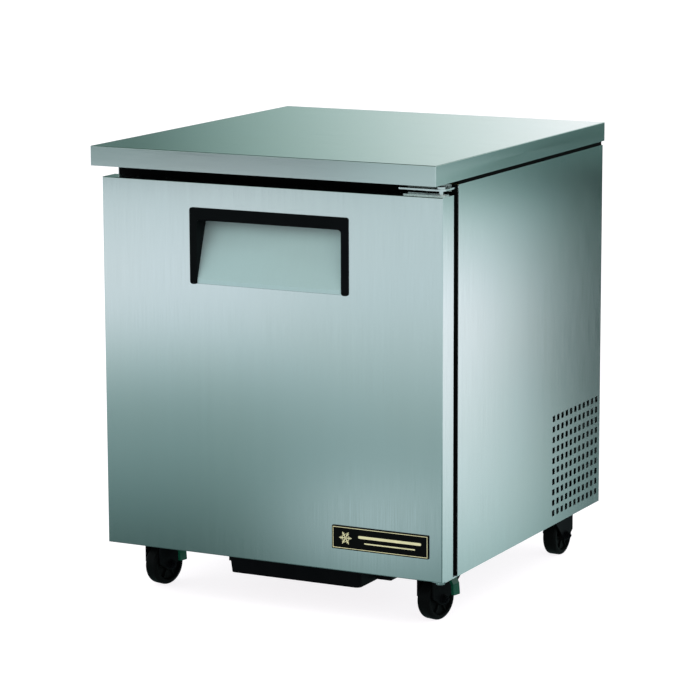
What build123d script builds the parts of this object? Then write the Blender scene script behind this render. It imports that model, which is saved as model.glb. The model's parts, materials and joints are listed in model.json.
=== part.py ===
from build123d import *

import os
from math import cos, radians, sin

# Undercounter refrigerator: one hinged door under a stainless worktop, on four swivel casters.
# Origin: on the floor, under the middle of the whole object.
# +X is the user's right, +Y is the back, +Z is up.  The door faces -Y.  Millimetres.

# ---- Driving dimensions: outside -----------------------------------------------------------------
WORKTOP_WIDTH = 702.0
WORKTOP_DEPTH = 766.0
WORKTOP_EDGE = 36.6          # height of the turned-down worktop edge
BUMPER_REACH = 25.0          # how far the rear bumpers stand behind the worktop
CASTER_HEIGHT = 100.0        # floor to the underside of the cabinet
CABINET_HEIGHT = 756.0       # underside of the cabinet to the worktop surface
BODY_WIDTH = 700.0
SEAM_GAP = 7.2               # dark joint between the side panels and the worktop edge
DOOR_WIDTH = 696.0
DOOR_HEIGHT = 694.0
DOOR_THICKNESS = 45.4
DOOR_SETBACK = 35.5          # worktop front edge to the door face
BODY_SETBACK = 96.5          # worktop front edge to the cabinet front
BODY_DEPTH = 662.0

# ---- Driving dimensions: sheets, insulation and the inside ---------------------------------------
SHEET = 1.2
WALL = 47.0                  # side wall, from outside face to the liner
FLOOR = 50.0
CEILING = 46.0
BACK_WALL = 57.0
BAY_DEPTH = 237.0            # machine bay, from the cabinet back
BAY_HEIGHT = 230.0
BAY_WALL = 45.0              # insulation between the bay and the liner

# ---- Driving dimensions: casters -----------------------------------------------------------------
WHEEL_RADIUS = 40.0
WHEEL_WIDTH = 28.0
CASTER_TRAIL = 31.0          # swivel axis to axle
CASTER_X = 288.0
CASTER_FRONT_Y = -215.5
CASTER_REAR_Y = 266.0
FRONT_TURN = -13.0           # degrees each caster stands turned about its swivel axis
REAR_RIGHT_TURN = 178.0
REAR_LEFT_TURN = 176.0
SHAFT_CLEARANCE = 0.05       # radial, on every running fit

# ---- Derived places ------------------------------------------------------------------------------
TOP_Z = CASTER_HEIGHT + CABINET_HEIGHT
FRONT_Y = -(WORKTOP_DEPTH + BUMPER_REACH) / 2
WORKTOP_BACK_Y = FRONT_Y + WORKTOP_DEPTH
OVERALL_BACK_Y = WORKTOP_BACK_Y + BUMPER_REACH
EDGE_Z = TOP_Z - WORKTOP_EDGE
PANEL_TOP_Z = EDGE_Z - SEAM_GAP
BODY_X = BODY_WIDTH / 2
BODY_FRONT_Y = FRONT_Y + BODY_SETBACK
BODY_BACK_Y = BODY_FRONT_Y + BODY_DEPTH
BODY_Z = CASTER_HEIGHT

DOOR_X = DOOR_WIDTH / 2
DOOR_FRONT_Y = FRONT_Y + DOOR_SETBACK
DOOR_BACK_Y = DOOR_FRONT_Y + DOOR_THICKNESS
DOOR_Z = BODY_Z + 1.2
DOOR_TOP_Z = DOOR_Z + DOOR_HEIGHT
SKIN = 1.0                   # door and liner sheet
DOOR_LINER = 1.5

LINER_X = BODY_X - WALL
LINER_FLOOR_Z = BODY_Z + FLOOR
LINER_TOP_Z = PANEL_TOP_Z - CEILING
LINER_BACK_Y = BODY_BACK_Y - BACK_WALL
FRAME_THICKNESS = 3.0
FRAME_BACK_Y = BODY_FRONT_Y + FRAME_THICKNESS
BAY_Y = BODY_BACK_Y - BAY_DEPTH
BAY_TOP_Z = BODY_Z + BAY_HEIGHT
STEP_Y = BAY_Y - BAY_WALL
STEP_Z = BAY_TOP_Z + BAY_WALL

HINGE_X = 334.0
HINGE_Y = DOOR_FRONT_Y + 22.5
HINGE_PIN = 4.0
BUSH_RADIUS = 7.9


# ---- Small helpers -------------------------------------------------------------------------------
def block(x0, x1, y0, y1, z0, z1):
    """A box between two corners."""
    centre = Pos((x0 + x1) / 2, (y0 + y1) / 2, (z0 + z1) / 2)
    return centre * Box(x1 - x0, y1 - y0, z1 - z0)


def rod_x(x0, x1, y, z, radius):
    """A round bar along X."""
    return Pos((x0 + x1) / 2, y, z) * Rot(0, 90, 0) * Cylinder(radius, x1 - x0)


def rod_y(x, y0, y1, z, radius):
    """A round bar along Y."""
    return Pos(x, (y0 + y1) / 2, z) * Rot(90, 0, 0) * Cylinder(radius, y1 - y0)


def rod_z(x, y, z0, z1, radius):
    """A round bar along Z."""
    return Pos(x, y, (z0 + z1) / 2) * Cylinder(radius, z1 - z0)


def prism_x(outline, x0, x1):
    """An outline of (y, z) points, swept from x0 to x1."""
    face = make_face(Polyline([(x0, y, z) for y, z in outline], close=True))
    return extrude(face, x1 - x0, dir=(1, 0, 0))


def plate_y(width, height, radius, x, z, y0, y1):
    """An upright plate with rounded corners, centred on x and z."""
    upright = Plane(origin=(x, y1, z), x_dir=(1, 0, 0), z_dir=(0, -1, 0))
    sheet = upright * RectangleRounded(width, height, radius)
    return extrude(sheet, y1 - y0)


def spread(first, last, count):
    """Evenly spaced values from first to last."""
    return [first + (last - first) * i / (count - 1) for i in range(count)]


def tube(points, bends, radius):
    """A round tube along straight runs joined by arcs."""
    path = FilletPolyline(*points, radius=bends)
    section = Plane(origin=path @ 0, z_dir=path % 0) * Circle(radius)
    return sweep(section, path)


def group(solids):
    """Separate solids kept together in one sub-part."""
    return Compound(children=[s for item in solids for s in item.solids()])


# ---- Worktop -------------------------------------------------------------------------------------
WORKTOP_RETURN = 14.0        # flange turned in under the worktop edge
JOINT_RECESS = 4.0           # how far the dark joint under it lies behind the cabinet front and back


def worktop():
    half = WORKTOP_WIDTH / 2
    slab = block(-half, half, FRONT_Y, WORKTOP_BACK_Y, EDGE_Z, TOP_Z)
    slab = fillet(slab.edges().filter_by(Axis.Z), 1.5)
    slab = fillet(slab.edges().group_by(Axis.Z)[-1], 1.5)
    inside = block(
        -half + SHEET, half - SHEET,
        FRONT_Y + SHEET, WORKTOP_BACK_Y - SHEET,
        EDGE_Z + SHEET, TOP_Z - SHEET,
    )
    mouth = block(
        -half + WORKTOP_RETURN, half - WORKTOP_RETURN,
        FRONT_Y + WORKTOP_RETURN, WORKTOP_BACK_Y - WORKTOP_RETURN,
        EDGE_Z - 1, EDGE_Z + 2 * SHEET,
    )
    return slab - inside - mouth


def worktop_core():
    """Board inside the worktop.  Its lower edge is the dark joint over the side panels."""
    half = WORKTOP_WIDTH / 2 - SHEET
    upper = block(-half, half, FRONT_Y + SHEET, WORKTOP_BACK_Y - SHEET, EDGE_Z + SHEET, TOP_Z - SHEET)
    neck = block(
        -half + WORKTOP_RETURN, half - WORKTOP_RETURN,
        BODY_FRONT_Y + JOINT_RECESS, WORKTOP_BACK_Y - WORKTOP_RETURN - SHEET,
        EDGE_Z - 1, EDGE_Z + SHEET,
    )
    foot = block(
        -BODY_X + SHEET, BODY_X - SHEET,
        BODY_FRONT_Y + JOINT_RECESS, BODY_BACK_Y - JOINT_RECESS,
        PANEL_TOP_Z, EDGE_Z,
    )
    return upper + neck + foot


# ---- Cabinet shell -------------------------------------------------------------------------------
VENT_COLUMNS = 11
VENT_ROWS = 10
VENT_COLUMN_PITCH = 20.95
VENT_ROW_PITCH = 20.6
VENT_SIZE = 11.8
VENT_FIRST_Y = 134.5
VENT_FIRST_Z = 123.8


def side_panel(side):
    """Outer sheet with the machine-bay vents."""
    outer, inner = side * BODY_X, side * (BODY_X - SHEET)
    x0, x1 = sorted((outer, inner))
    sheet = block(x0, x1, BODY_FRONT_Y, BODY_BACK_Y, BODY_Z, PANEL_TOP_Z)
    hole = RectangleRounded(VENT_SIZE, VENT_SIZE, 2.0)
    holes = Sketch() + [
        Pos(VENT_FIRST_Y + column * VENT_COLUMN_PITCH, VENT_FIRST_Z + row * VENT_ROW_PITCH) * hole
        for column in range(VENT_COLUMNS)
        for row in range(VENT_ROWS)
    ]
    punch = extrude(Plane(origin=(x0 - 1, 0, 0), x_dir=(0, 1, 0), z_dir=(1, 0, 0)) * holes, SHEET + 2)
    return sheet - punch


def front_frame():
    """Dark breaker frame round the door opening, where the gasket seals."""
    half = BODY_X - SHEET
    ring = block(-half, half, BODY_FRONT_Y, FRAME_BACK_Y, BODY_Z + SHEET, PANEL_TOP_Z)
    hole = block(
        -LINER_X + SKIN, LINER_X - SKIN, BODY_FRONT_Y - 1, FRAME_BACK_Y + 1,
        LINER_FLOOR_Z + SKIN, LINER_TOP_Z - SKIN,
    )
    return ring - hole


def liner_outline(skin):
    """Side outline of the food compartment, drawn in by a skin thickness."""
    floor, top = LINER_FLOOR_Z + skin, LINER_TOP_Z - skin
    step_y, step_z, back = STEP_Y - skin, STEP_Z + skin, LINER_BACK_Y - skin
    return [
        (FRAME_BACK_Y, floor), (step_y, floor), (step_y, step_z),
        (back, step_z), (back, top), (FRAME_BACK_Y, top),
    ]


DRAIN_X = 9.0
DRAIN_Y = -180.0
DRAIN_OUTER = 9.0


def liner():
    shell = prism_x(liner_outline(0), -LINER_X, LINER_X)
    inside = prism_x(liner_outline(SKIN), -LINER_X + SKIN, LINER_X - SKIN)
    return shell - inside - rod_z(DRAIN_X, DRAIN_Y, BODY_Z, LINER_FLOOR_Z + 5, DRAIN_OUTER)


def cabinet_foam():
    """Insulation between the outer sheets and the liner, stepped over the machine bay."""
    half = BODY_X - SHEET
    back = BODY_BACK_Y - SHEET
    floor = BODY_Z + SHEET
    outline = [
        (FRAME_BACK_Y, floor), (BAY_Y, floor), (BAY_Y, BAY_TOP_Z),
        (back, BAY_TOP_Z), (back, PANEL_TOP_Z), (FRAME_BACK_Y, PANEL_TOP_Z),
    ]
    foam = prism_x(outline, -half, half) - prism_x(liner_outline(0), -LINER_X, LINER_X)
    return foam - rod_z(DRAIN_X, DRAIN_Y, BODY_Z, LINER_FLOOR_Z + 5, DRAIN_OUTER)


def back_panel():
    """One folded sheet: cabinet back, ceiling of the machine bay and its front wall."""
    half = BODY_X - SHEET
    outline = [
        (BAY_Y, BODY_Z + SHEET), (BAY_Y + SHEET, BODY_Z + SHEET),
        (BAY_Y + SHEET, BAY_TOP_Z - SHEET), (BODY_BACK_Y, BAY_TOP_Z - SHEET),
        (BODY_BACK_Y, PANEL_TOP_Z), (BODY_BACK_Y - SHEET, PANEL_TOP_Z),
        (BODY_BACK_Y - SHEET, BAY_TOP_Z), (BAY_Y, BAY_TOP_Z),
    ]
    return prism_x(outline, -half, half)


def base_pan():
    """Bottom sheet of the cabinet, with the hole for the drain tube."""
    half = BODY_X - SHEET
    sheet = block(-half, half, BODY_FRONT_Y, BODY_BACK_Y - SHEET, BODY_Z, BODY_Z + SHEET)
    return sheet - rod_z(DRAIN_X, DRAIN_Y, BODY_Z - 5, LINER_FLOOR_Z, DRAIN_OUTER)


GRILLE_SLOT = 8.0
GLAND_X = -270.0
GLAND_Z = 150.0
GLAND_RADIUS = 9.0


def rear_grille():
    """Slotted cover over the back of the machine bay."""
    half = BODY_X - SHEET - 0.5
    top = BAY_TOP_Z - SHEET - 0.5
    sheet = block(-half, half, BODY_BACK_Y - SHEET, BODY_BACK_Y, BODY_Z + SHEET, top)
    slot = SlotOverall(190, GRILLE_SLOT)
    slots = Sketch() + [
        Pos(x, z) * slot for x in (-205, 0, 205) for z in spread(BODY_Z + 78, BODY_Z + 206, 9)
    ]
    plane = Plane(origin=(0, BODY_BACK_Y + 1, 0), x_dir=(1, 0, 0), z_dir=(0, -1, 0))
    return sheet - extrude(plane * slots, SHEET + 2) - rod_y(
        GLAND_X, BODY_BACK_Y - 5, BODY_BACK_Y + 5, GLAND_Z, GLAND_RADIUS
    )


def cord_gland():
    """Bush where the supply lead enters.  A flange each side of the sheet holds it."""
    body = rod_y(GLAND_X, BODY_BACK_Y - 8, BODY_BACK_Y + 12, GLAND_Z, GLAND_RADIUS)
    body += rod_y(GLAND_X, BODY_BACK_Y, BODY_BACK_Y + 4, GLAND_Z, GLAND_RADIUS + 4)
    body += rod_y(GLAND_X, BODY_BACK_Y - SHEET - 3, BODY_BACK_Y - SHEET, GLAND_Z, GLAND_RADIUS + 3)
    return body - rod_y(GLAND_X, BODY_BACK_Y - 9, BODY_BACK_Y + 13, GLAND_Z, 5.0)


def rear_bumpers():
    """Tapered stops that hold the cabinet off a wall."""
    length = OVERALL_BACK_Y - BODY_BACK_Y
    bumpers = []
    for x in (-250, 250):
        place = Plane(origin=(x, BODY_BACK_Y, 640), x_dir=(1, 0, 0), z_dir=(0, 1, 0))
        bumper = place * Pos(0, 0, length / 2) * Cone(24, 16, length)
        bumpers.append(fillet(bumper.edges().group_by(Axis.Y)[-1], 3))
    return group(bumpers)


# ---- Drain ---------------------------------------------------------------------------------------
PAN_X0 = -135.0
PAN_X1 = 145.0
PAN_FRONT_Y = -283.0
PAN_BACK_Y = -70.0
PAN_Z = 48.5
PAN_TOP_Z = 94.0
PAN_TAPER = 4.0              # how much each wall leans in towards the bottom
PAN_SHEET = 2.0
PAN_BRACKET_Z = 53.0
PAN_BRACKET_GAP = 0.6
PAN_BRACKET_WIDTH = 31.4
PAN_BRACKET_FRONT_Y, PAN_BRACKET_BACK_Y = -220.0, -110.0


def drain_tube():
    """Floor drain from the food compartment down into the pan."""
    pipe = rod_z(DRAIN_X, DRAIN_Y, PAN_TOP_Z - 8, LINER_FLOOR_Z + SKIN + 1, DRAIN_OUTER)
    pipe += rod_z(DRAIN_X, DRAIN_Y, LINER_FLOOR_Z + SKIN, LINER_FLOOR_Z + SKIN + 2, DRAIN_OUTER + 6)
    return pipe - rod_z(DRAIN_X, DRAIN_Y, 0, LINER_FLOOR_Z + 10, DRAIN_OUTER - 2.5)


def tapered_tray(inset, z0, z1):
    """Solid between a smaller floor outline and a larger rim outline."""
    middle_x, middle_y = (PAN_X0 + PAN_X1) / 2, (PAN_FRONT_Y + PAN_BACK_Y) / 2
    width, depth = PAN_X1 - PAN_X0 - 2 * inset, PAN_BACK_Y - PAN_FRONT_Y - 2 * inset
    lower = Plane.XY.offset(z0) * Pos(middle_x, middle_y) * RectangleRounded(
        width - 2 * PAN_TAPER, depth - 2 * PAN_TAPER, 10
    )
    upper = Plane.XY.offset(z1) * Pos(middle_x, middle_y) * RectangleRounded(width, depth, 10)
    return loft([lower, upper])


def drain_pan():
    """Open tray that hangs under the front of the cabinet."""
    return tapered_tray(0, PAN_Z, PAN_TOP_Z) - tapered_tray(PAN_SHEET, PAN_Z + PAN_SHEET, PAN_TOP_Z + 1)


def pan_brackets():
    """Folded boxes under the cabinet, one each side of the pan, that carry it."""
    brackets = []
    right, left = PAN_X1 + PAN_BRACKET_GAP, PAN_X0 - PAN_BRACKET_GAP
    for x0, x1 in ((right, right + PAN_BRACKET_WIDTH), (left - PAN_BRACKET_WIDTH, left)):
        box = block(x0, x1, PAN_BRACKET_FRONT_Y, PAN_BRACKET_BACK_Y, PAN_BRACKET_Z, BODY_Z)
        hollow = block(
            x0 + PAN_SHEET, x1 - PAN_SHEET, PAN_BRACKET_FRONT_Y + PAN_SHEET, PAN_BRACKET_BACK_Y + 1,
            PAN_BRACKET_Z + PAN_SHEET, BODY_Z + 1,
        )
        brackets.append(box - hollow)
    return group(brackets)


# ---- Shelves -------------------------------------------------------------------------------------
SHELF_WIDTH = 560.0
SHELF_FRONT_Y = -289.0
SHELF_BACK_Y = 76.0
SHELF_RIM = 3.0
SHELF_WIRE = 1.8
SHELF_LEVELS = {"shelf_lower": 332.0, "shelf_upper": 560.0}
STANDARD_DEPTH = 9.0
STANDARD_WIDTH = 20.0
STANDARD_YS = (-235.0, 25.0)
STANDARD_Z0, STANDARD_Z1 = 175.0, 740.0
SLOT_PITCH = 25.4


def shelf(z):
    """Welded wire shelf: a rim, three cross wires and wires from front to back."""
    middle_y, depth = (SHELF_FRONT_Y + SHELF_BACK_Y) / 2, SHELF_BACK_Y - SHELF_FRONT_Y
    rim_path = (Pos(0, middle_y, z) * RectangleRounded(SHELF_WIDTH, depth, 14)).wire()
    rim = sweep(Plane(origin=rim_path @ 0, z_dir=rim_path % 0) * Circle(SHELF_RIM), rim_path)
    half = SHELF_WIDTH / 2
    wire_z = z + SHELF_RIM - SHELF_WIRE
    wires = [
        rod_y(x, SHELF_FRONT_Y, SHELF_BACK_Y, wire_z, SHELF_WIRE) for x in spread(-half + 24, half - 24, 21)
    ]
    cross_z = wire_z - SHELF_WIRE - 2.0
    cross_ys = spread(SHELF_FRONT_Y + 90, SHELF_BACK_Y - 90, 3)
    crosses = [rod_x(-half, half, y, cross_z, 2.4) for y in cross_ys]
    return rim + wires + crosses


def shelf_standards():
    """Four slotted uprights on the side walls."""
    uprights = []
    for side in (-1, 1):
        wall = side * (LINER_X - SKIN)
        face = side * (LINER_X - SKIN - STANDARD_DEPTH)
        for y in STANDARD_YS:
            x0, x1 = sorted((wall, face))
            bar = block(x0, x1, y - STANDARD_WIDTH / 2, y + STANDARD_WIDTH / 2, STANDARD_Z0, STANDARD_Z1)
            c0, c1 = sorted((wall + side, face + side * 1.5))
            bar -= block(c0, c1, y - 8, y + 8, STANDARD_Z0 - 1, STANDARD_Z1 + 1)
            s0, s1 = sorted((face - side, face + side * 3))
            count = int((STANDARD_Z1 - STANDARD_Z0 - 20) / SLOT_PITCH)
            slots = [
                block(s0, s1, y - 5, y + 5, z - 1.8, z + 1.8)
                for z in (STANDARD_Z0 + 15 + SLOT_PITCH * i for i in range(count))
            ]
            uprights.append(bar - slots)
    return group(uprights)


def shelf_clips():
    """Support clips under the shelf corners."""
    clips = []
    for level in SHELF_LEVELS.values():
        top = level - SHELF_RIM
        for side in (-1, 1):
            face = side * (LINER_X - SKIN - STANDARD_DEPTH)
            inner = side * (SHELF_WIDTH / 2 - 6)
            x0, x1 = sorted((face, inner))
            p0, p1 = sorted((face, face - side * 2))
            for y in STANDARD_YS:
                clip = block(x0, x1, y - 7, y + 7, top - 2, top)
                clip += block(p0, p1, y - 7, y + 7, top - 14, top)
                clips.append(clip)
    return group(clips)


# ---- Evaporator ----------------------------------------------------------------------------------
EVAP_X = 284.0
EVAP_FRONT_Y = 150.0
EVAP_Z0, EVAP_Z1 = 480.0, LINER_TOP_Z - SKIN
EVAP_FAN = (-110.0, 625.0)   # fan axis, x and z
EVAP_FAN_RADIUS = 70.0
KNOB = (190.0, 560.0)        # thermostat axis, x and z
FAN_SHAFT = 3.0
KNOB_SHAFT = 3.0


def evaporator_cover():
    """Sheet housing on the back wall, with the fan opening, the knob hole and intake slots below."""
    back = LINER_BACK_Y - SKIN
    skin = 1.5
    box = block(-EVAP_X, EVAP_X, EVAP_FRONT_Y, back, EVAP_Z0, EVAP_Z1)
    box = fillet(box.edges().filter_by(Axis.X).group_by(Axis.Y)[0].group_by(Axis.Z)[0], 12)
    box -= block(-EVAP_X + skin, EVAP_X - skin, EVAP_FRONT_Y + skin, back + 1, EVAP_Z0 + skin, EVAP_Z1 + 1)
    fan_x, fan_z = EVAP_FAN
    box -= rod_y(fan_x, EVAP_FRONT_Y - 1, EVAP_FRONT_Y + 5, fan_z, EVAP_FAN_RADIUS + 4)
    box -= rod_y(KNOB[0], EVAP_FRONT_Y - 1, EVAP_FRONT_Y + 5, KNOB[1], KNOB_SHAFT + 3)
    slots = [block(x - 4, x + 4, 215, 285, EVAP_Z0 - 1, EVAP_Z0 + 3) for x in spread(-220, 220, 17)]
    return box - slots


def finned_coil(x0, x1, y0, y1, z0, z1, fin_axis_x):
    """Tube-and-fin coil: one block grooved into fins, with return bends at both ends."""
    pack = block(x0, x1, y0, y1, z0, z1)
    low, high = (x0, x1) if fin_axis_x else (y0, y1)
    pitch = 9.0
    count = int((high - low) / pitch) - 1
    cuts = []
    for i in range(count):
        at = low + pitch * (i + 1)
        if fin_axis_x:
            cuts.append(block(at - 3, at + 3, y0 - 1, y0 + 7, z0 + 2, z1 - 2))
            cuts.append(block(at - 3, at + 3, y1 - 7, y1 + 1, z0 + 2, z1 - 2))
        else:
            cuts.append(block(x0 - 1, x0 + 7, at - 3, at + 3, z0 + 2, z1 - 2))
            cuts.append(block(x1 - 7, x1 + 1, at - 3, at + 3, z0 + 2, z1 - 2))
    return pack - cuts


def return_bends(low, high, cross, z0, z1, fin_axis_x):
    """Half-round tube bends at both ends of a coil.  Each one starts and ends on the fin pack."""
    bend, pipe, bends = 12.5, 4.5, []
    count = int((z1 - z0) / (4 * bend))
    for i in range(count):
        z = z0 + (z1 - z0) * (i + 0.5) / count
        for end, turn in ((low, 180), (high, 0)):
            ring = Torus(bend, pipe, major_angle=180)
            spin = Rot(0, 0, turn) if fin_axis_x else Rot(0, 0, turn + 90)
            place = Pos(end, cross, z) if fin_axis_x else Pos(cross, end, z)
            bends.append(place * spin * Rot(90, 0, 0) * Rot(0, 0, -90) * ring)
    return bends


def evaporator_coil():
    span = (-235.0, 235.0, 232.0, 292.0, 505.0, 735.0)
    pack = finned_coil(*span, True)
    return pack + return_bends(span[0], span[1], 262.0, span[4] + 10, span[5] - 10, True)


def evaporator_fan_motor():
    """Shaded-pole motor on three arms that bolt behind the fan opening."""
    x, z = EVAP_FAN
    front = EVAP_FRONT_Y + 1.5
    motor = rod_y(x, 186, 222, z, 30)
    motor = fillet(motor.edges().group_by(Axis.Y)[0], 5)
    motor += rod_y(x, front + 9, 190, z, FAN_SHAFT)
    for angle in (90, 210, 330):
        dx, dz = cos(radians(angle)), sin(radians(angle))
        arm = Pos(x + dx * 56, 199, z + dz * 56) * Rot(0, -angle, 0) * Box(66, 3, 12)
        foot = Box(5, 200.5 - front, 12)
        foot = Pos(x + dx * 87, (front + 200.5) / 2, z + dz * 87) * Rot(0, -angle, 0) * foot
        motor += [arm, foot]
    return motor


def axial_fan(blades, hub_radius, tip_radius, hub_length, bore, pitch_angle):
    """Pressed fan about +Z: a hub with blades set at an angle, on the origin."""
    hub = Cylinder(hub_radius, hub_length)
    span = tip_radius - hub_radius + 3
    blade = Pos(hub_radius - 3 + span / 2, 0, 0) * Rot(pitch_angle, 0, 0) * Box(span, tip_radius * 0.55, 1.6)
    blade &= Cylinder(tip_radius, hub_length * 2)
    fan = hub + [Rot(0, 0, 360 * i / blades) * blade for i in range(blades)]
    return fan - Cylinder(bore, hub_length + 2)


def evaporator_fan_blade():
    x, z = EVAP_FAN
    fan = axial_fan(5, 14, EVAP_FAN_RADIUS - 6, 16, FAN_SHAFT + SHAFT_CLEARANCE, 24)
    return Pos(x, EVAP_FRONT_Y + 22, z) * Rot(90, 0, 0) * fan


def evaporator_fan_guard():
    """Guard over the fan opening: wire rings on four flat spokes, with feet on the cover."""
    x, z = EVAP_FAN
    wire, strip, strip_width, stand_off = 1.6, 1.6, 3.0, 6.0
    outer = EVAP_FAN_RADIUS + 6
    angles = (45, 135, 225, 315)
    rings = [revolve(Plane.XZ * Pos(r, 0, 0) * Circle(wire), Axis.Z) for r in spread(20, outer, 5)]
    spoke = Pos(outer / 2 + 9.25, 0, -1.9) * Box(outer - 13.5, strip_width, strip)
    foot = Pos(outer, 0, (-stand_off - strip) / 2) * Box(2.2, strip_width, stand_off - strip)
    spokes = [Rot(0, 0, angle) * spoke for angle in angles]
    feet = [Rot(0, 0, angle) * foot for angle in angles]
    front = Plane(origin=(x, EVAP_FRONT_Y - stand_off, z), x_dir=(1, 0, 0), z_dir=(0, -1, 0))
    return front * (rings[0] + rings[1:] + spokes + feet)


def thermostat_body():
    x, z = KNOB
    front = EVAP_FRONT_Y + 1.5
    body = block(x - 26, x + 26, front, front + 34, z - 18, z + 18)
    body = fillet(body.edges().filter_by(Axis.Y), 4)
    return body + rod_y(x, EVAP_FRONT_Y - 16, front + 1, z, KNOB_SHAFT)


def thermostat_knob():
    """Ribbed dial with a pointer ridge, turning on the thermostat shaft."""
    x, z = KNOB
    front, back = EVAP_FRONT_Y - 20, EVAP_FRONT_Y - 1
    knob = rod_y(x, front, back, z, 18)
    knob = fillet(knob.edges().group_by(Axis.Y)[0], 2)
    grips = [
        rod_y(x + 19 * cos(radians(a)), front - 1, back + 1, z + 19 * sin(radians(a)), 2.2)
        for a in range(15, 375, 30)
    ]
    knob -= grips
    knob += block(x - 2, x + 2, front - 3, front + 1, z, z + 15)
    return knob - rod_y(x, EVAP_FRONT_Y - 16.5, back + 1, z, KNOB_SHAFT + SHAFT_CLEARANCE)


# ---- Condensing unit -----------------------------------------------------------------------------
UNIT_Z = BODY_Z + SHEET
COMPRESSOR = (-190.0, 246.0)
COMPRESSOR_RADIUS = 72.0
COMPRESSOR_Z = 116.0
CONDENSER_X0, CONDENSER_X1 = 276.0, 316.0
CONDENSER_Y0, CONDENSER_Y1 = 158.0, 332.0
CONDENSER_Z0, CONDENSER_Z1 = 110.0, 312.0
CONDENSER_FAN = (245.0, 211.0)   # fan axis, y and z
CONDENSER_FAN_RADIUS = 78.0
MOTOR_SHAFT = 4.0
FEET = [(-62, -62), (-62, 62), (62, -62), (62, 62)]


def unit_base_plate():
    """Tray that carries the compressor, condenser and fan."""
    plate = block(-320, 330, 142, 350, UNIT_Z, UNIT_Z + 2)
    for y0, y1 in ((142, 144), (348, 350)):
        plate += block(-320, 330, y0, y1, UNIT_Z, UNIT_Z + 16)
    return plate


def compressor():
    """Hermetic shell: two drawn cups with a welded seam, feet and three stub tubes."""
    cx, cy = COMPRESSOR
    r, z = COMPRESSOR_RADIUS, COMPRESSOR_Z
    shell = rod_z(cx, cy, z + 3, z + 172, r)
    shell = fillet(shell.edges().group_by(Axis.Z)[-1], 44)
    shell = fillet(shell.edges().group_by(Axis.Z)[0], 16)
    shell += rod_z(cx, cy, z + 84, z + 92, r + 3)
    feet = Pos(cx, cy, z + 1.5) * Box(150, 150, 3)
    feet = fillet(feet.edges().filter_by(Axis.Z), 14)
    shell += feet
    shell += rod_z(cx, cy, z, z + 12, 50)
    shell -= [rod_z(cx + dx, cy + dy, z - 1, z + 5, 5.0) for dx, dy in FEET]
    return shell


def compressor_grommets():
    """Rubber feet under the compressor, held by their own sleeves."""
    cx, cy = COMPRESSOR
    plate_top = UNIT_Z + 2
    grommets = []
    for dx, dy in FEET:
        body = rod_z(cx + dx, cy + dy, plate_top, COMPRESSOR_Z, 11)
        body += rod_z(cx + dx, cy + dy, COMPRESSOR_Z, COMPRESSOR_Z + 3, 4.8)
        body += rod_z(cx + dx, cy + dy, COMPRESSOR_Z + 3, COMPRESSOR_Z + 7, 8)
        grommets.append(body - rod_z(cx + dx, cy + dy, plate_top - 1, COMPRESSOR_Z + 8, 3))
    return group(grommets)


def terminal_cover():
    """Cover over the compressor's electrical terminals."""
    cx, cy = COMPRESSOR
    cover = block(
        cx + 50, cx + COMPRESSOR_RADIUS + 26,
        cy - 30, cy + 30,
        COMPRESSOR_Z + 96, COMPRESSOR_Z + 150,
    )
    cover = fillet(cover.edges().group_by(Axis.X)[-1], 5)
    return cover - rod_z(cx, cy, COMPRESSOR_Z + 90, COMPRESSOR_Z + 160, COMPRESSOR_RADIUS + 0.2)


def condenser_coil():
    span = (CONDENSER_X0, CONDENSER_X1, CONDENSER_Y0, CONDENSER_Y1, CONDENSER_Z0, CONDENSER_Z1)
    pack = finned_coil(*span, False)
    middle = (CONDENSER_X0 + CONDENSER_X1) / 2
    pack += return_bends(CONDENSER_Y0, CONDENSER_Y1, middle, CONDENSER_Z0 + 10, CONDENSER_Z1 - 10, False)
    feet = [
        block(CONDENSER_X0 + 6, CONDENSER_X1 - 6, y, y + 3, UNIT_Z + 2, CONDENSER_Z0 + 2)
        for y in (CONDENSER_Y0 + 4, CONDENSER_Y1 - 7)
    ]
    return pack + feet


def condenser_fan_shroud():
    """Open box between the condenser and its fan, with a round fan opening."""
    x0, x1 = CONDENSER_X0 - 22, CONDENSER_X0 - 0.3
    fan_y, fan_z = CONDENSER_FAN
    box = block(x0, x1, CONDENSER_Y0, CONDENSER_Y1, UNIT_Z + 2, CONDENSER_Z1)
    box -= block(x0 + 1.5, x1 + 1, CONDENSER_Y0 + 1.5, CONDENSER_Y1 - 1.5, UNIT_Z + 3.5, CONDENSER_Z1 - 1.5)
    collar = rod_x(x0 - 14, x0 + 1, fan_y, fan_z, CONDENSER_FAN_RADIUS + 5.5)
    opening = rod_x(x0 - 15, x0 + 3, fan_y, fan_z, CONDENSER_FAN_RADIUS + 4)
    return box + collar - opening


def condenser_fan_motor():
    """Motor on a folded post, with its shaft towards the condenser."""
    fan_y, fan_z = CONDENSER_FAN
    motor = rod_x(168, 214, fan_y, fan_z, 34)
    motor = fillet(motor.edges().group_by(Axis.X)[0], 8)
    motor += rod_x(213, 252, fan_y, fan_z, MOTOR_SHAFT)
    post = block(184, 187, fan_y - 28, fan_y + 28, UNIT_Z + 2, fan_z - 20)
    foot = block(160, 187, fan_y - 28, fan_y + 28, UNIT_Z + 2, UNIT_Z + 5)
    return motor + post + foot


def condenser_fan_blade():
    fan_y, fan_z = CONDENSER_FAN
    fan = axial_fan(4, 16, CONDENSER_FAN_RADIUS, 18, MOTOR_SHAFT + SHAFT_CLEARANCE, 26)
    return Pos(CONDENSER_X0 - 32, fan_y, fan_z) * Rot(0, 90, 0) * fan


DRIER_Y = 326.0
DRIER_Z = 150.0


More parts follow.
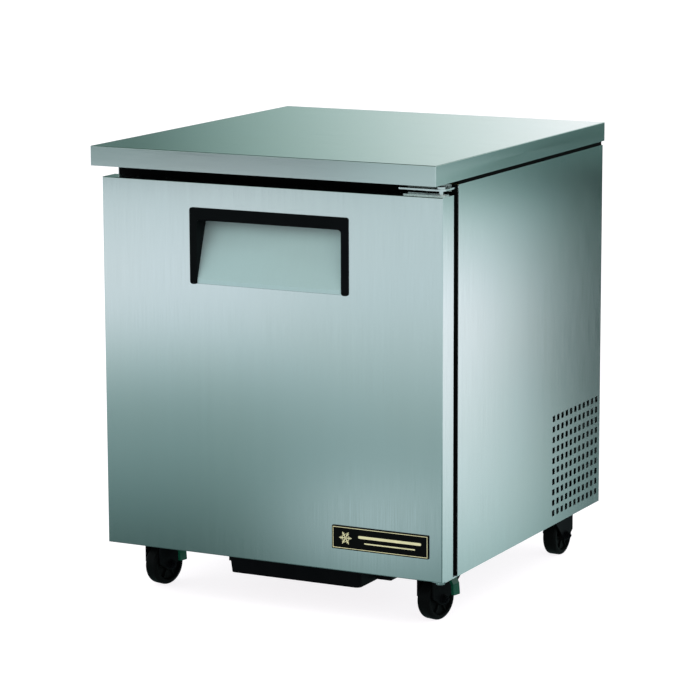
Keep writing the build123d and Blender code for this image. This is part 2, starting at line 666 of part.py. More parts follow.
def filter_drier():
    """Spun copper drier with a tapered neck at each end."""
    outline = [(-62, 0), (-62, 4.5), (-50, 4.5), (-38, 13), (38, 13), (50, 4.5), (62, 4.5), (62, 0)]
    face = make_face(Polyline([(x, r, 0) for x, r in outline], close=True))
    return Pos(20, DRIER_Y, DRIER_Z) * revolve(face, Axis.X)


def refrigerant_tubes():
    """Discharge, liquid, capillary and suction lines of the condensing unit."""
    cx, cy = COMPRESSOR
    near_condenser_y = CONDENSER_Y1 + 11
    side = CONDENSER_X0 - 30
    discharge = tube(
        [
            (cx + 40, cy + 66, 190), (cx + 40, cy + 90, 190), (cx + 40, cy + 90, 300),
            (side, near_condenser_y, 300),
        ],
        [10, 16], 3.5,
    )
    liquid = tube([(20 + 62.2, DRIER_Y, DRIER_Z), (side, DRIER_Y, DRIER_Z), (side, DRIER_Y, 130)], [8], 3.0)
    capillary = tube(
        [(20 - 62.2, DRIER_Y, DRIER_Z), (-70, DRIER_Y, DRIER_Z), (-70, DRIER_Y, BAY_TOP_Z - SHEET - 0.2)],
        [10], 1.6,
    )
    suction = tube(
        [(cx - 40, cy + 66, 210), (cx - 40, cy + 90, 210), (cx - 40, cy + 90, BAY_TOP_Z - SHEET - 0.2)],
        [12], 4.8,
    )
    return group([discharge, liquid, capillary, suction])


# ---- Door ----------------------------------------------------------------------------------------
HANDLE_X = 162.4             # half width of the handle bezel
HANDLE_LEG = 14.4
HANDLE_BOTTOM_Z = 608.0
HANDLE_TOP_Z = 749.3
HANDLE_BAR = 22.7            # height of the grip bar
HANDLE_PROUD = 3.0
GRIP_DEPTH = 12.0            # grip bar, front to back
POCKET_X = HANDLE_X - HANDLE_LEG
POCKET_WALL = 1.5
SLOPE_WALL = 1.05 * POCKET_WALL  # the same wall measured along Y on the sloping back
SCOOP = 1.05                 # thickness of the steel on the slope, along Y
POCKET_BOTTOM_Z = 609.0
POCKET_TOP_Z = 748.0
POCKET_BACK_Y = DOOR_FRONT_Y + 40.5
POCKET_KNEE_Z = 735.0        # where the sloping back meets the upright back
BADGE_X0, BADGE_X1 = 127.6, 322.3
BADGE_Z0, BADGE_Z1 = 142.5, 186.2
BADGE_THICKNESS = 2.5


def slope_z(y, inset):
    """Height of the pocket's sloping back at depth y, moved towards the front by inset."""
    slope = (POCKET_KNEE_Z - POCKET_BOTTOM_Z) / (POCKET_BACK_Y - DOOR_FRONT_Y)
    return POCKET_BOTTOM_Z + (y - DOOR_FRONT_Y + inset) * slope


def pocket_outline(wall, front):
    """Side outline of the handle pocket, from the door face or from a plane before it."""
    back = POCKET_BACK_Y - wall
    return [
        (front, slope_z(front, wall)), (front, POCKET_TOP_Z - wall),
        (back, POCKET_TOP_Z - wall), (back, slope_z(back, wall)),
    ]


def door_skin():
    """Stainless outer pan with a cut-out for the handle and a hole for the top and bottom pivots."""
    pan = block(-DOOR_X, DOOR_X, DOOR_FRONT_Y, DOOR_BACK_Y, DOOR_Z, DOOR_TOP_Z)
    pan = fillet(pan.edges().group_by(Axis.Y)[0], 1.6)
    pan -= block(
        -DOOR_X + SKIN, DOOR_X - SKIN, DOOR_FRONT_Y + SKIN, DOOR_BACK_Y + 1, DOOR_Z + SKIN, DOOR_TOP_Z - SKIN
    )
    wall = POCKET_X + POCKET_WALL
    pan -= block(-wall, wall, DOOR_FRONT_Y - 1, DOOR_FRONT_Y + 5, POCKET_BOTTOM_Z, POCKET_TOP_Z)
    return pan - rod_z(HINGE_X, HINGE_Y, DOOR_Z - 1, DOOR_TOP_Z + 1, BUSH_RADIUS)


def door_foam():
    """Insulation inside the door, cut away round the handle pocket."""
    inner = DOOR_X - SKIN
    foam = block(
        -inner, inner, DOOR_FRONT_Y + SKIN, DOOR_BACK_Y - DOOR_LINER, DOOR_Z + SKIN, DOOR_TOP_Z - SKIN
    )
    foam -= prism_x(pocket_outline(0, DOOR_FRONT_Y), -POCKET_X - POCKET_WALL, POCKET_X + POCKET_WALL)
    for z0, z1 in ((DOOR_Z, DOOR_Z + 26), (DOOR_TOP_Z - 26, DOOR_TOP_Z)):
        foam -= rod_z(HINGE_X, HINGE_Y, z0, z1, BUSH_RADIUS)
    return foam


def door_liner():
    """Inner sheet of the door with a raised centre panel inside the gasket."""
    inner = DOOR_X - SKIN
    sheet = block(-inner, inner, DOOR_BACK_Y - DOOR_LINER, DOOR_BACK_Y, DOOR_Z + SKIN, DOOR_TOP_Z - SKIN)
    raised = plate_y(540, 570, 24, 0, (DOOR_Z + DOOR_TOP_Z) / 2, DOOR_BACK_Y, DOOR_BACK_Y + 8)
    raised = fillet(raised.edges().group_by(Axis.Y)[-1], 4)
    return sheet + raised


GASKET_X = 330.0
GASKET_MARGIN_Z = 14.0
GASKET_WIDTH = 18.0
GASKET_GAP = 0.3             # running gap to the cabinet front


def door_gasket():
    """Magnetic seal: a frame of soft bellows with a wide foot and a sealing nose."""
    height = DOOR_HEIGHT - 2 * GASKET_MARGIN_Z
    middle = (DOOR_Z + DOOR_TOP_Z) / 2
    nose = BODY_FRONT_Y - GASKET_GAP

    def ring(inset, width, y0, y1):
        outer = plate_y(2 * (GASKET_X - inset), height - 2 * inset, 8, 0, middle, y0, y1)
        hole = inset + width
        return outer - plate_y(2 * (GASKET_X - hole), height - 2 * hole, 5, 0, middle, y0 - 1, y1 + 1)

    foot = ring(0, GASKET_WIDTH, DOOR_BACK_Y, DOOR_BACK_Y + 5)
    neck = ring(3.5, GASKET_WIDTH - 7, DOOR_BACK_Y + 5, nose - 5)
    seal = ring(1, GASKET_WIDTH - 2, nose - 5, nose)
    return foot + neck + seal


def handle_scoop():
    """Steel plate that slopes in from the door face under the grip bar."""
    plate = SLOPE_WALL + SCOOP
    back = POCKET_BACK_Y - POCKET_WALL - 0.2
    outline = [
        (DOOR_FRONT_Y, POCKET_BOTTOM_Z + 0.3), (DOOR_FRONT_Y, slope_z(DOOR_FRONT_Y, plate)),
        (back, slope_z(back, plate)), (back, slope_z(back, SLOPE_WALL)),
    ]
    return prism_x(outline, -POCKET_X + 0.1, POCKET_X - 0.1)


def handle_frame():
    """Moulded bezel, grip bar and pocket in one piece."""
    height = HANDLE_TOP_Z - HANDLE_BOTTOM_Z
    front = DOOR_FRONT_Y - HANDLE_PROUD
    middle = (HANDLE_TOP_Z + HANDLE_BOTTOM_Z) / 2
    bezel = plate_y(2 * HANDLE_X, height, 5, 0, middle, front, DOOR_FRONT_Y)
    opening_top = HANDLE_TOP_Z - HANDLE_BAR
    window = plate_y(2 * POCKET_X, height, 6, 0, opening_top - height / 2, front - 1, DOOR_FRONT_Y + 1)
    bezel -= window
    bezel = fillet(bezel.edges().filter_by(Axis.Y).group_by(Axis.Z)[0], 5)
    bezel = fillet(bezel.faces().sort_by(Axis.Y)[0].edges(), 1.0)
    pocket = prism_x(pocket_outline(0, DOOR_FRONT_Y), -POCKET_X - POCKET_WALL, POCKET_X + POCKET_WALL)
    hollow = prism_x(pocket_outline(SLOPE_WALL, front - 2), -POCKET_X, POCKET_X)
    grip = block(-POCKET_X, POCKET_X, DOOR_FRONT_Y, front + GRIP_DEPTH, opening_top, POCKET_TOP_Z)
    grip = fillet(grip.edges().filter_by(Axis.X).group_by(Axis.Z)[0].group_by(Axis.Y)[-1], 3)
    return bezel + (pocket - hollow) + grip - handle_scoop()


def badge_plate():
    """Plain raised name-plate blank."""
    width, height = BADGE_X1 - BADGE_X0, BADGE_Z1 - BADGE_Z0
    x, z = (BADGE_X0 + BADGE_X1) / 2, (BADGE_Z0 + BADGE_Z1) / 2
    plate = plate_y(width, height, 2, x, z, DOOR_FRONT_Y - BADGE_THICKNESS, DOOR_FRONT_Y)
    return fillet(plate.faces().sort_by(Axis.Y)[0].edges(), 0.8)


# ---- Hinges --------------------------------------------------------------------------------------
BRACKET_Z = DOOR_TOP_Z + 9.8     # underside of the top hinge arm
ARM = 3.0
ARM_X = 345.0                # outer end of both arms
TOP_ARM_X0 = 252.0
BOTTOM_ARM_X0 = 318.0
BOTTOM_ARM_BACK_Y = -255.0


def top_hinge_bracket():
    """Arm over the door with a flange screwed to the cabinet front."""
    arm = block(TOP_ARM_X0, ARM_X, HINGE_Y - 11, BODY_FRONT_Y - ARM, BRACKET_Z, BRACKET_Z + ARM)
    arm = fillet(arm.edges().filter_by(Axis.Z).group_by(Axis.Y)[0], 8)
    flange = block(TOP_ARM_X0, ARM_X - 7.5, BODY_FRONT_Y - ARM, BODY_FRONT_Y, DOOR_TOP_Z + 4, PANEL_TOP_Z)
    arm += flange
    return arm - rod_z(HINGE_X, HINGE_Y, BRACKET_Z - 1, BRACKET_Z + ARM + 1, HINGE_PIN)


def bottom_hinge_bracket():
    """Plate under the cabinet that reaches forward under the door."""
    arm = block(BOTTOM_ARM_X0, ARM_X, HINGE_Y - 10, BOTTOM_ARM_BACK_Y, BODY_Z - ARM, BODY_Z)
    arm = fillet(arm.edges().filter_by(Axis.Z).group_by(Axis.Y)[0], 8)
    return arm - rod_z(HINGE_X, HINGE_Y, BODY_Z - ARM - 1, BODY_Z + 1, HINGE_PIN)


def hinge_pins():
    """Headed pivot pins, fixed in the brackets."""
    top = rod_z(HINGE_X, HINGE_Y, DOOR_TOP_Z - 22, BRACKET_Z + ARM, HINGE_PIN)
    top += rod_z(HINGE_X, HINGE_Y, BRACKET_Z + ARM, BRACKET_Z + ARM + 4, 8)
    bottom = rod_z(HINGE_X, HINGE_Y, BODY_Z - ARM, DOOR_Z + 22, HINGE_PIN)
    bottom += rod_z(HINGE_X, HINGE_Y, BODY_Z - ARM - 4, BODY_Z - ARM, 8)
    return group([top, bottom])


def door_hinge_plate():
    """Steel plate on top of the door that carries the pivot bush and hides the spring."""
    plate = block(TOP_ARM_X0 + 10, ARM_X - 1, HINGE_Y - 9, HINGE_Y + 14, DOOR_TOP_Z, DOOR_TOP_Z + 2)
    plate = fillet(plate.edges().filter_by(Axis.Z), 4)
    return plate - rod_z(HINGE_X, HINGE_Y, DOOR_TOP_Z - 1, DOOR_TOP_Z + 3, BUSH_RADIUS)


def hinge_bushes():
    """Plastic bushes in the door that turn on the pins."""
    bushes = []
    for z0, z1 in ((DOOR_Z - 0.4, DOOR_Z + 25), (DOOR_TOP_Z - 25, DOOR_TOP_Z + 2)):
        bush = rod_z(HINGE_X, HINGE_Y, z0, z1, BUSH_RADIUS)
        bushes.append(bush - rod_z(HINGE_X, HINGE_Y, z0 - 1, z1 + 1, HINGE_PIN + SHAFT_CLEARANCE))
    return group(bushes)


# ---- Casters: each one is modelled about its swivel axis, trailing towards -Y --------------------
PLATE_THICKNESS = 3.0
RACE_Z = 91.0                # underside of the fixed raceway
CROWN_TOP_Z = 90.0
CROWN_Z = 85.0
KINGPIN = 6.0
AXLE = 5.0
LEG_INNER = 16.5
LEG_THICKNESS = 3.0
LEG_BACK_Y = -62.0
LEG_FRONT_Y = 20.0
PEDAL_PIN = 2.0
PEDAL_X, PEDAL_Y, PEDAL_Z = 24.5, -18.0, 78.0
PEDAL_LENGTH = 18.0
PEDAL_DROP = 29.0            # from its pin to its lowest edge
CASTERS = {
    "front_right": (CASTER_X, CASTER_FRONT_Y, FRONT_TURN),
    "front_left": (-CASTER_X, CASTER_FRONT_Y, FRONT_TURN),
    "rear_right": (CASTER_X, CASTER_REAR_Y, REAR_RIGHT_TURN),
    "rear_left": (-CASTER_X, CASTER_REAR_Y, REAR_LEFT_TURN),
}


def caster_mounts():
    """Fixed halves of the casters: plate, raceway and headed kingpin."""
    mounts = []
    for x, y, _ in CASTERS.values():
        plate = Pos(x, y, BODY_Z - PLATE_THICKNESS / 2) * Box(70, 70, PLATE_THICKNESS)
        plate = fillet(plate.edges().filter_by(Axis.Z), 6)
        race = rod_z(x, y, RACE_Z, BODY_Z - PLATE_THICKNESS, 25)
        race = fillet(race.edges().group_by(Axis.Z)[0], 2)
        pin = rod_z(x, y, CROWN_Z - 2.5, RACE_Z, KINGPIN) + rod_z(x, y, CROWN_Z - 3, CROWN_Z - 0.4, 9)
        mounts.append(plate + race + pin)
    return group(mounts)


def caster_fork(braked):
    """Crown and two legs with the axle bolt, and lugs for the pedal on a braked one."""
    crown = rod_z(0, 0, CROWN_Z, CROWN_TOP_Z, 25)
    crown += block(-LEG_INNER - LEG_THICKNESS, LEG_INNER + LEG_THICKNESS, LEG_BACK_Y, 0, CROWN_Z, CROWN_TOP_Z)
    leg_outline = [
        (LEG_FRONT_Y, CROWN_TOP_Z), (LEG_FRONT_Y, 78), (-CASTER_TRAIL + 11, 37), (-CASTER_TRAIL + 6, 30),
        (-CASTER_TRAIL - 6, 30), (-CASTER_TRAIL - 11, 33), (LEG_BACK_Y, 46), (LEG_BACK_Y, CROWN_TOP_Z),
    ]
    fork = crown
    for side in (-1, 1):
        x0, x1 = sorted((side * LEG_INNER, side * (LEG_INNER + LEG_THICKNESS)))
        fork += prism_x(leg_outline, x0, x1)
    fork -= rod_z(0, 0, CROWN_Z - 1, CROWN_TOP_Z + 1, KINGPIN + SHAFT_CLEARANCE)
    reach = LEG_INNER + LEG_THICKNESS
    fork += rod_x(-reach - 3, reach + 3, -CASTER_TRAIL, WHEEL_RADIUS, AXLE)
    fork += rod_x(reach, reach + 5, -CASTER_TRAIL, WHEEL_RADIUS, 8)
    fork += rod_x(-reach - 5, -reach, -CASTER_TRAIL, WHEEL_RADIUS, 8)
    if braked:
        ends = (PEDAL_Y - PEDAL_LENGTH / 2 - 1, PEDAL_Y + PEDAL_LENGTH / 2 + 1)
        for y0, y1 in ((ends[0] - 3, ends[0]), (ends[1], ends[1] + 3)):
            fork += block(reach, PEDAL_X + 4, y0, y1, PEDAL_Z - 5, PEDAL_Z + 5)
        fork += rod_y(PEDAL_X, ends[0] - 3, ends[1] + 3, PEDAL_Z, PEDAL_PIN)
    return fork


def caster_wheel():
    """Wheel with a rounded tread, dished sides and a hub, about its axle."""
    half, hub = WHEEL_WIDTH / 2, LEG_INNER - 0.8
    outline = [
        (AXLE + SHAFT_CLEARANCE, -hub), (11, -hub), (13, -half + 5), (29, -half + 5), (31, -half),
        (WHEEL_RADIUS, -half), (WHEEL_RADIUS, half), (31, half), (29, half - 5), (13, half - 5),
        (11, hub), (AXLE + SHAFT_CLEARANCE, hub),
    ]
    face = make_face(Polyline([(x, 0, r) for r, x in outline], close=True))
    wheel = revolve(face, Axis.X)
    circles = wheel.edges().filter_by(GeomType.CIRCLE)
    rims = circles.filter_by(lambda edge: abs(edge.radius - WHEEL_RADIUS) < 0.01)
    wheel = fillet(rims, 6)
    return Pos(0, -CASTER_TRAIL, WHEEL_RADIUS) * wheel


def caster_pedal():
    """Brake lever on the outer side of the fork, hanging out and down from its pin."""
    y0, y1 = PEDAL_Y - PEDAL_LENGTH / 2, PEDAL_Y + PEDAL_LENGTH / 2
    hub = rod_y(PEDAL_X, y0, y1, PEDAL_Z, 4.2)
    outline = [
        (PEDAL_X - 1, PEDAL_Z + 4), (PEDAL_X + 8, PEDAL_Z + 1), (PEDAL_X + 13, PEDAL_Z - 8),
        (PEDAL_X + 15, PEDAL_Z - PEDAL_DROP), (PEDAL_X + 9.5, PEDAL_Z - PEDAL_DROP),
        (PEDAL_X + 8, PEDAL_Z - 10),
        (PEDAL_X + 5, PEDAL_Z - 5), (PEDAL_X - 1, PEDAL_Z - 3),
    ]
    face = make_face(Polyline([(x, y0, z) for x, z in outline], close=True))
    lever = extrude(face, PEDAL_LENGTH, dir=(0, 1, 0))
    lever = fillet(lever.edges().group_by(Axis.Z)[0].filter_by(Axis.X), 1.8)
    return hub + lever - rod_y(PEDAL_X, y0 - 1, y1 + 1, PEDAL_Z, PEDAL_PIN + SHAFT_CLEARANCE)


# ---- Fasteners -----------------------------------------------------------------------------------
def screw_head(x, y, z, direction, radius, height):
    """A low domed head standing on a face at x, y, z and pointing along direction."""
    head = Pos(0, 0, height / 2) * Cylinder(radius, height)
    head = fillet(head.edges().group_by(Axis.Z)[-1], height * 0.4)
    return Plane(origin=(x, y, z), z_dir=direction) * head


def cabinet_screws():
    """Screw heads: caster plates, top hinge, rear grille and evaporator cover."""
    down, front, back = (0, 0, -1), (0, -1, 0), (0, 1, 0)
    plate_z = BODY_Z - PLATE_THICKNESS
    heads = [
        screw_head(x + dx, y + dy, plate_z, down, 5.5, 4)
        for x, y, _ in CASTERS.values() for dx in (-29, 29) for dy in (-29, 29)
    ]
    heads += [screw_head(x, HINGE_Y + 6, BRACKET_Z, down, 5, 3) for x in (TOP_ARM_X0 + 28, TOP_ARM_X0 + 53)]
    heads += [
        screw_head(x, BODY_BACK_Y, z, back, 4.5, 2.5)
        for x in (-330, 0, 330) for z in (BODY_Z + 12, BAY_TOP_Z - 12)
    ]
    heads += [
        screw_head(x, EVAP_FRONT_Y, z, front, 4.5, 2.5)
        for x in (16 - EVAP_X, EVAP_X - 16) for z in (EVAP_Z0 + 30, EVAP_Z1 - 20)
    ]
    return group(heads)


# ---- Assembly ------------------------------------------------------------------------------------
def sub_parts():
    """Every sub-part by name."""
    parts = {
        "worktop": worktop(),
        "worktop_core": worktop_core(),
        "side_panel_left": side_panel(-1),
        "side_panel_right": side_panel(1),
        "front_frame": front_frame(),
        "back_panel": back_panel(),
        "base_pan": base_pan(),
        "cabinet_foam": cabinet_foam(),
        "liner": liner(),
        "rear_grille": rear_grille(),
        "cord_gland": cord_gland(),
        "rear_bumpers": rear_bumpers(),
        "drain_tube": drain_tube(),
        "drain_pan": drain_pan(),
        "pan_brackets": pan_brackets(),
        "shelf_standards": shelf_standards(),
        "shelf_clips": shelf_clips(),
        "evaporator_cover": evaporator_cover(),
        "evaporator_coil": evaporator_coil(),
        "evaporator_fan_motor": evaporator_fan_motor(),
        "evaporator_fan_blade": evaporator_fan_blade(),
        "evaporator_fan_guard": evaporator_fan_guard(),
        "thermostat_body": thermostat_body(),
        "thermostat_knob": thermostat_knob(),
        "unit_base_plate": unit_base_plate(),
        "compressor": compressor(),
        "compressor_grommets": compressor_grommets(),
        "terminal_cover": terminal_cover(),
        "condenser_coil": condenser_coil(),
        "condenser_fan_shroud": condenser_fan_shroud(),
        "condenser_fan_motor": condenser_fan_motor(),
        "condenser_fan_blade": condenser_fan_blade(),
        "filter_drier": filter_drier(),
        "refrigerant_tubes": refrigerant_tubes(),
        "door_skin": door_skin(),
        "door_foam": door_foam(),
        "door_liner": door_liner(),
        "door_gasket": door_gasket(),
        "handle_frame": handle_frame(),
        "handle_scoop": handle_scoop(),
        "badge_plate": badge_plate(),
        "door_hinge_plate": door_hinge_plate(),
        "hinge_bushes": hinge_bushes(),
        "top_hinge_bracket": top_hinge_bracket(),
        "bottom_hinge_bracket": bottom_hinge_bracket(),
        "hinge_pins": hinge_pins(),
        "caster_mounts": caster_mounts(),
        "cabinet_screws": cabinet_screws(),
    }
    for name, level in SHELF_LEVELS.items():
        parts[name] = shelf(level)
    for corner, (x, y, turn) in CASTERS.items():
        place = Pos(x, y, 0) * Rot(0, 0, turn)
        braked = corner.startswith("front")
        parts[f"caster_fork_{corner}"] = place * caster_fork(braked)
        parts[f"caster_wheel_{corner}"] = place * caster_wheel()
        if braked:
            parts[f"brake_pedal_{corner}"] = place * caster_pedal()
    return parts


def main():
    os.makedirs("parts", exist_ok=True)
    for name, shape in sub_parts().items():
        export_step(shape, f"parts/{name}.step")


main()
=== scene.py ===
import json
import math

import bmesh
import bpy
from mathutils import Matrix, Vector


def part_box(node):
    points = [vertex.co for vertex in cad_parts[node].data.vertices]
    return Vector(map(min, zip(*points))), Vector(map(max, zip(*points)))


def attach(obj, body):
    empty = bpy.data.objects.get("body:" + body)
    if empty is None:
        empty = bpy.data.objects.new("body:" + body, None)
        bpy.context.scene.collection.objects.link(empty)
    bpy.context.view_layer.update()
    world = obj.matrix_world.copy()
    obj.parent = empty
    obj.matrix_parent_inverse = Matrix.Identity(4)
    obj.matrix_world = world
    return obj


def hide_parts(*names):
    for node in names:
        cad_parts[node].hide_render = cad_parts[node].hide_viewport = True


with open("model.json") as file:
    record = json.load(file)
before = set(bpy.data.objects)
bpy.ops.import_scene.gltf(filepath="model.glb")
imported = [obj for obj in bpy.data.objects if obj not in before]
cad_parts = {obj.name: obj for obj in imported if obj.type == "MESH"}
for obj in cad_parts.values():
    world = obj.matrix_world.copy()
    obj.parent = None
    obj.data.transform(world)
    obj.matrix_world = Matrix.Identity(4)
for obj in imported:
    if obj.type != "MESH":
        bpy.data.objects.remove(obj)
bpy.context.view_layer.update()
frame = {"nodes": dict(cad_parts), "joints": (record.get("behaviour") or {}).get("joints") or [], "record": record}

# An undercounter refrigerator on casters.  Metres, in the frame of the CAD model:
# origin on the floor, +X to the user's right, +Y to the back, +Z up, the door at -Y.
# Order: camera, materials, mesh helpers, badge, gasket, small parts, and the studio round the object.

MM = 0.001

# ---- Camera --------------------------------------------------------------------------------------
CAMERA_PLACE = (2.652, -5.2225, 1.525)
CAMERA_YAW = 27.09
CAMERA_PITCH = 10.52
CAMERA_ROLL = -0.20
CAMERA_LENS = 159.6
SENSOR = 36.0


def new_object(name, data):
    """An object that holds a mesh, a camera or a light, linked into the scene."""
    made = bpy.data.objects.new(name, data)
    bpy.context.scene.collection.objects.link(made)
    return made


def make_camera():
    """A long lens off the right front corner, looking slightly down."""
    data = bpy.data.cameras.new("camera")
    data.sensor_width = SENSOR
    data.lens = CAMERA_LENS
    data.dof.use_dof = False
    data.clip_end = 100.0
    camera = new_object("camera", data)
    turn = Matrix.Rotation(math.radians(CAMERA_YAW), 4, "Z")
    tilt = Matrix.Rotation(math.radians(90 - CAMERA_PITCH), 4, "X")
    roll = Matrix.Rotation(math.radians(CAMERA_ROLL), 4, "Z")
    camera.matrix_world = Matrix.Translation(CAMERA_PLACE) @ turn @ tilt @ roll
    bpy.context.scene.camera = camera


# ---- Shader helpers ------------------------------------------------------------------------------
def colour(red, green, blue):
    """A linear colour from display values, 0 to 255."""
    def linear(value):
        value /= 255
        return value / 12.92 if value <= 0.04045 else ((value + 0.055) / 1.055) ** 2.4

    return (linear(red), linear(green), linear(blue), 1.0)


def shaded(tone, factor, lift=0.0):
    """The same colour, brighter or darker."""
    return (*(min(1.0, c * factor + lift) for c in tone[:3]), 1.0)


class Shader:
    """A node material under construction, with short calls for the nodes that it uses."""

    def __init__(self, name):
        self.material = bpy.data.materials.new(name)
        self.material.use_nodes = True
        self.tree = self.material.node_tree
        self.surface = self.tree.nodes["Principled BSDF"]

    def set(self, **values):
        """Constant values on the surface shader; underscores stand for spaces."""
        for name, value in values.items():
            self.surface.inputs[name.replace("_", " ")].default_value = value

    def node(self, kind, **settings):
        """A new node with its settings."""
        made = self.tree.nodes.new(kind)
        for name, value in settings.items():
            setattr(made, name, value)
        return made

    def join(self, output, socket):
        """A link from an output to an input socket."""
        self.tree.links.new(output, socket)

    def feed(self, output, name):
        """A link from an output to a named input of the surface shader."""
        self.join(output, self.surface.inputs[name])

    def position(self, scale):
        """Object position, in metres, times a scale for each axis."""
        place = self.node("ShaderNodeTexCoord")
        sized = self.node("ShaderNodeVectorMath", operation="MULTIPLY")
        sized.inputs[1].default_value = scale
        self.join(place.outputs["Object"], sized.inputs[0])
        return sized.outputs[0]

    def noise(self, scale, detail=2.0, rough=0.5):
        """Smooth noise; a larger scale on an axis gives finer grain along it."""
        made = self.node("ShaderNodeTexNoise")
        made.inputs["Scale"].default_value = 1.0
        made.inputs["Detail"].default_value = detail
        made.inputs["Roughness"].default_value = rough
        self.join(self.position(scale), made.inputs["Vector"])
        return made.outputs["Fac"]

    def spans(self, value, low, high, to_low, to_high):
        """Remaps a value from low..high to to_low..to_high."""
        made = self.node("ShaderNodeMapRange")
        made.inputs["From Min"].default_value = low
        made.inputs["From Max"].default_value = high
        made.inputs["To Min"].default_value = to_low
        made.inputs["To Max"].default_value = to_high
        self.join(value, made.inputs["Value"])
        return made.outputs["Result"]

    def mix(self, factor, first, second):
        """Colour mix; each colour is a tuple or another node's output."""
        made = self.node("ShaderNodeMix", data_type="RGBA")
        colours = [s for s in made.inputs if s.type == "RGBA"]
        for socket, value in zip(colours, (first, second)):
            if isinstance(value, tuple):
                socket.default_value = value
            else:
                self.join(value, socket)
        self.join(factor, made.inputs["Factor"])
        return next(s for s in made.outputs if s.type == "RGBA")

    def bump(self, height, strength, distance):
        """Fine relief on the surface shader's normal."""
        made = self.node("ShaderNodeBump")
        made.inputs["Strength"].default_value = strength
        made.inputs["Distance"].default_value = distance
        self.join(height, made.inputs["Height"])
        self.feed(made.outputs["Normal"], "Normal")


# ---- Materials -----------------------------------------------------------------------------------
STEEL = (0.635, 0.672, 0.66, 1.0)
SATIN_STEEL = (0.50, 0.63, 0.625, 1.0)


def brushed(name, tone, grain, streak, roughness=0.18, anisotropy=0.5, strength=1.0):
    """Brushed metal.  grain and streak are noise scales, small along the brushing."""
    metal = Shader(name)
    metal.set(Metallic=1.0, Anisotropic=anisotropy)
    fine = metal.noise(grain, 3.0)
    streaks = metal.noise(streak, 2.0)
    clouds = metal.noise((3.1, 3.1, 3.4), 2.0)
    streaky = shaded(tone, 1.0 - 0.025 * strength)
    cool = (tone[0] * 0.97, tone[1], tone[2] * 1.03, 1.0)
    grainy = shaded(tone, 1.0 - 0.06 * strength)
    shade = metal.mix(metal.spans(streaks, 0.35, 0.65, 0.0, 1.0), tone, streaky)
    shade = metal.mix(metal.spans(clouds, 0.35, 0.65, 0.0, 0.6), shade, cool)
    shade = metal.mix(metal.spans(fine, 0.3, 0.7, 0.0, 0.5), shade, grainy)
    metal.feed(shade, "Base Color")
    metal.feed(metal.spans(fine, 0.3, 0.7, roughness - 0.03, roughness + 0.04), "Roughness")
    metal.bump(fine, 0.02 * strength, 0.0002)
    return metal


def moulded(name, tone, roughness, grain_scale, grain_strength, specular=0.3):
    """Moulded plastic or rubber with a fine cast texture and slight mottling."""
    plastic = Shader(name)
    plastic.set(Specular_IOR_Level=specular)
    mottle = plastic.noise((14, 14, 14), 2.0)
    worn = shaded(tone, 1.5, 0.0006)
    plastic.feed(plastic.mix(plastic.spans(mottle, 0.35, 0.75, 0.0, 0.6), tone, worn), "Base Color")
    fine = plastic.noise((grain_scale,) * 3, 3.0)
    plastic.feed(plastic.spans(fine, 0.3, 0.7, roughness - 0.06, roughness + 0.08), "Roughness")
    plastic.bump(fine, grain_strength, 0.0003)
    return plastic.material


def painted(name, tone, roughness, specular=0.4):
    """Sprayed paint with a light orange-peel texture and dust in patches."""
    paint = Shader(name)
    paint.set(Specular_IOR_Level=specular)
    peel = paint.noise((900, 900, 900), 2.0)
    dust = paint.noise((22, 22, 9), 4.0)
    dusty = shaded(tone, 1.3, 0.001)
    paint.feed(paint.mix(paint.spans(dust, 0.45, 0.8, 0.0, 0.8), tone, dusty), "Base Color")
    paint.feed(paint.spans(dust, 0.3, 0.8, roughness, roughness + 0.15), "Roughness")
    paint.bump(peel, 0.08, 0.0003)
    return paint.material


def plated(name, tone, roughness, metal=1.0):
    """Zinc or chrome plate with faint handling marks."""
    plate = Shader(name)
    plate.set(Metallic=metal)
    marks = plate.noise((240, 240, 240), 3.0)
    haze = plate.noise((30, 30, 30), 2.0)
    dull = shaded(tone, 0.72)
    plate.feed(plate.mix(plate.spans(haze, 0.35, 0.7, 0.0, 0.7), tone, dull), "Base Color")
    plate.feed(plate.spans(marks, 0.3, 0.7, roughness - 0.05, roughness + 0.1), "Roughness")
    plate.bump(marks, 0.04, 0.0002)
    return plate.material


def galvanised(name):
    """Galvanised sheet: spangle crystals of slightly different brightness."""
    sheet = Shader(name)
    sheet.set(Metallic=0.9)
    crystals = sheet.node("ShaderNodeTexVoronoi")
    crystals.inputs["Scale"].default_value = 1.0
    sheet.join(sheet.position((95, 95, 95)), crystals.inputs["Vector"])
    split = sheet.node("ShaderNodeSeparateColor")
    sheet.join(crystals.outputs["Color"], split.inputs["Color"])
    pick = split.outputs["Red"]
    sheet.feed(sheet.mix(pick, colour(150, 158, 158), colour(196, 202, 200)), "Base Color")
    sheet.feed(sheet.spans(pick, 0.0, 1.0, 0.34, 0.55), "Roughness")
    sheet.bump(sheet.noise((180, 180, 180), 2.0), 0.05, 0.0003)
    return sheet.material


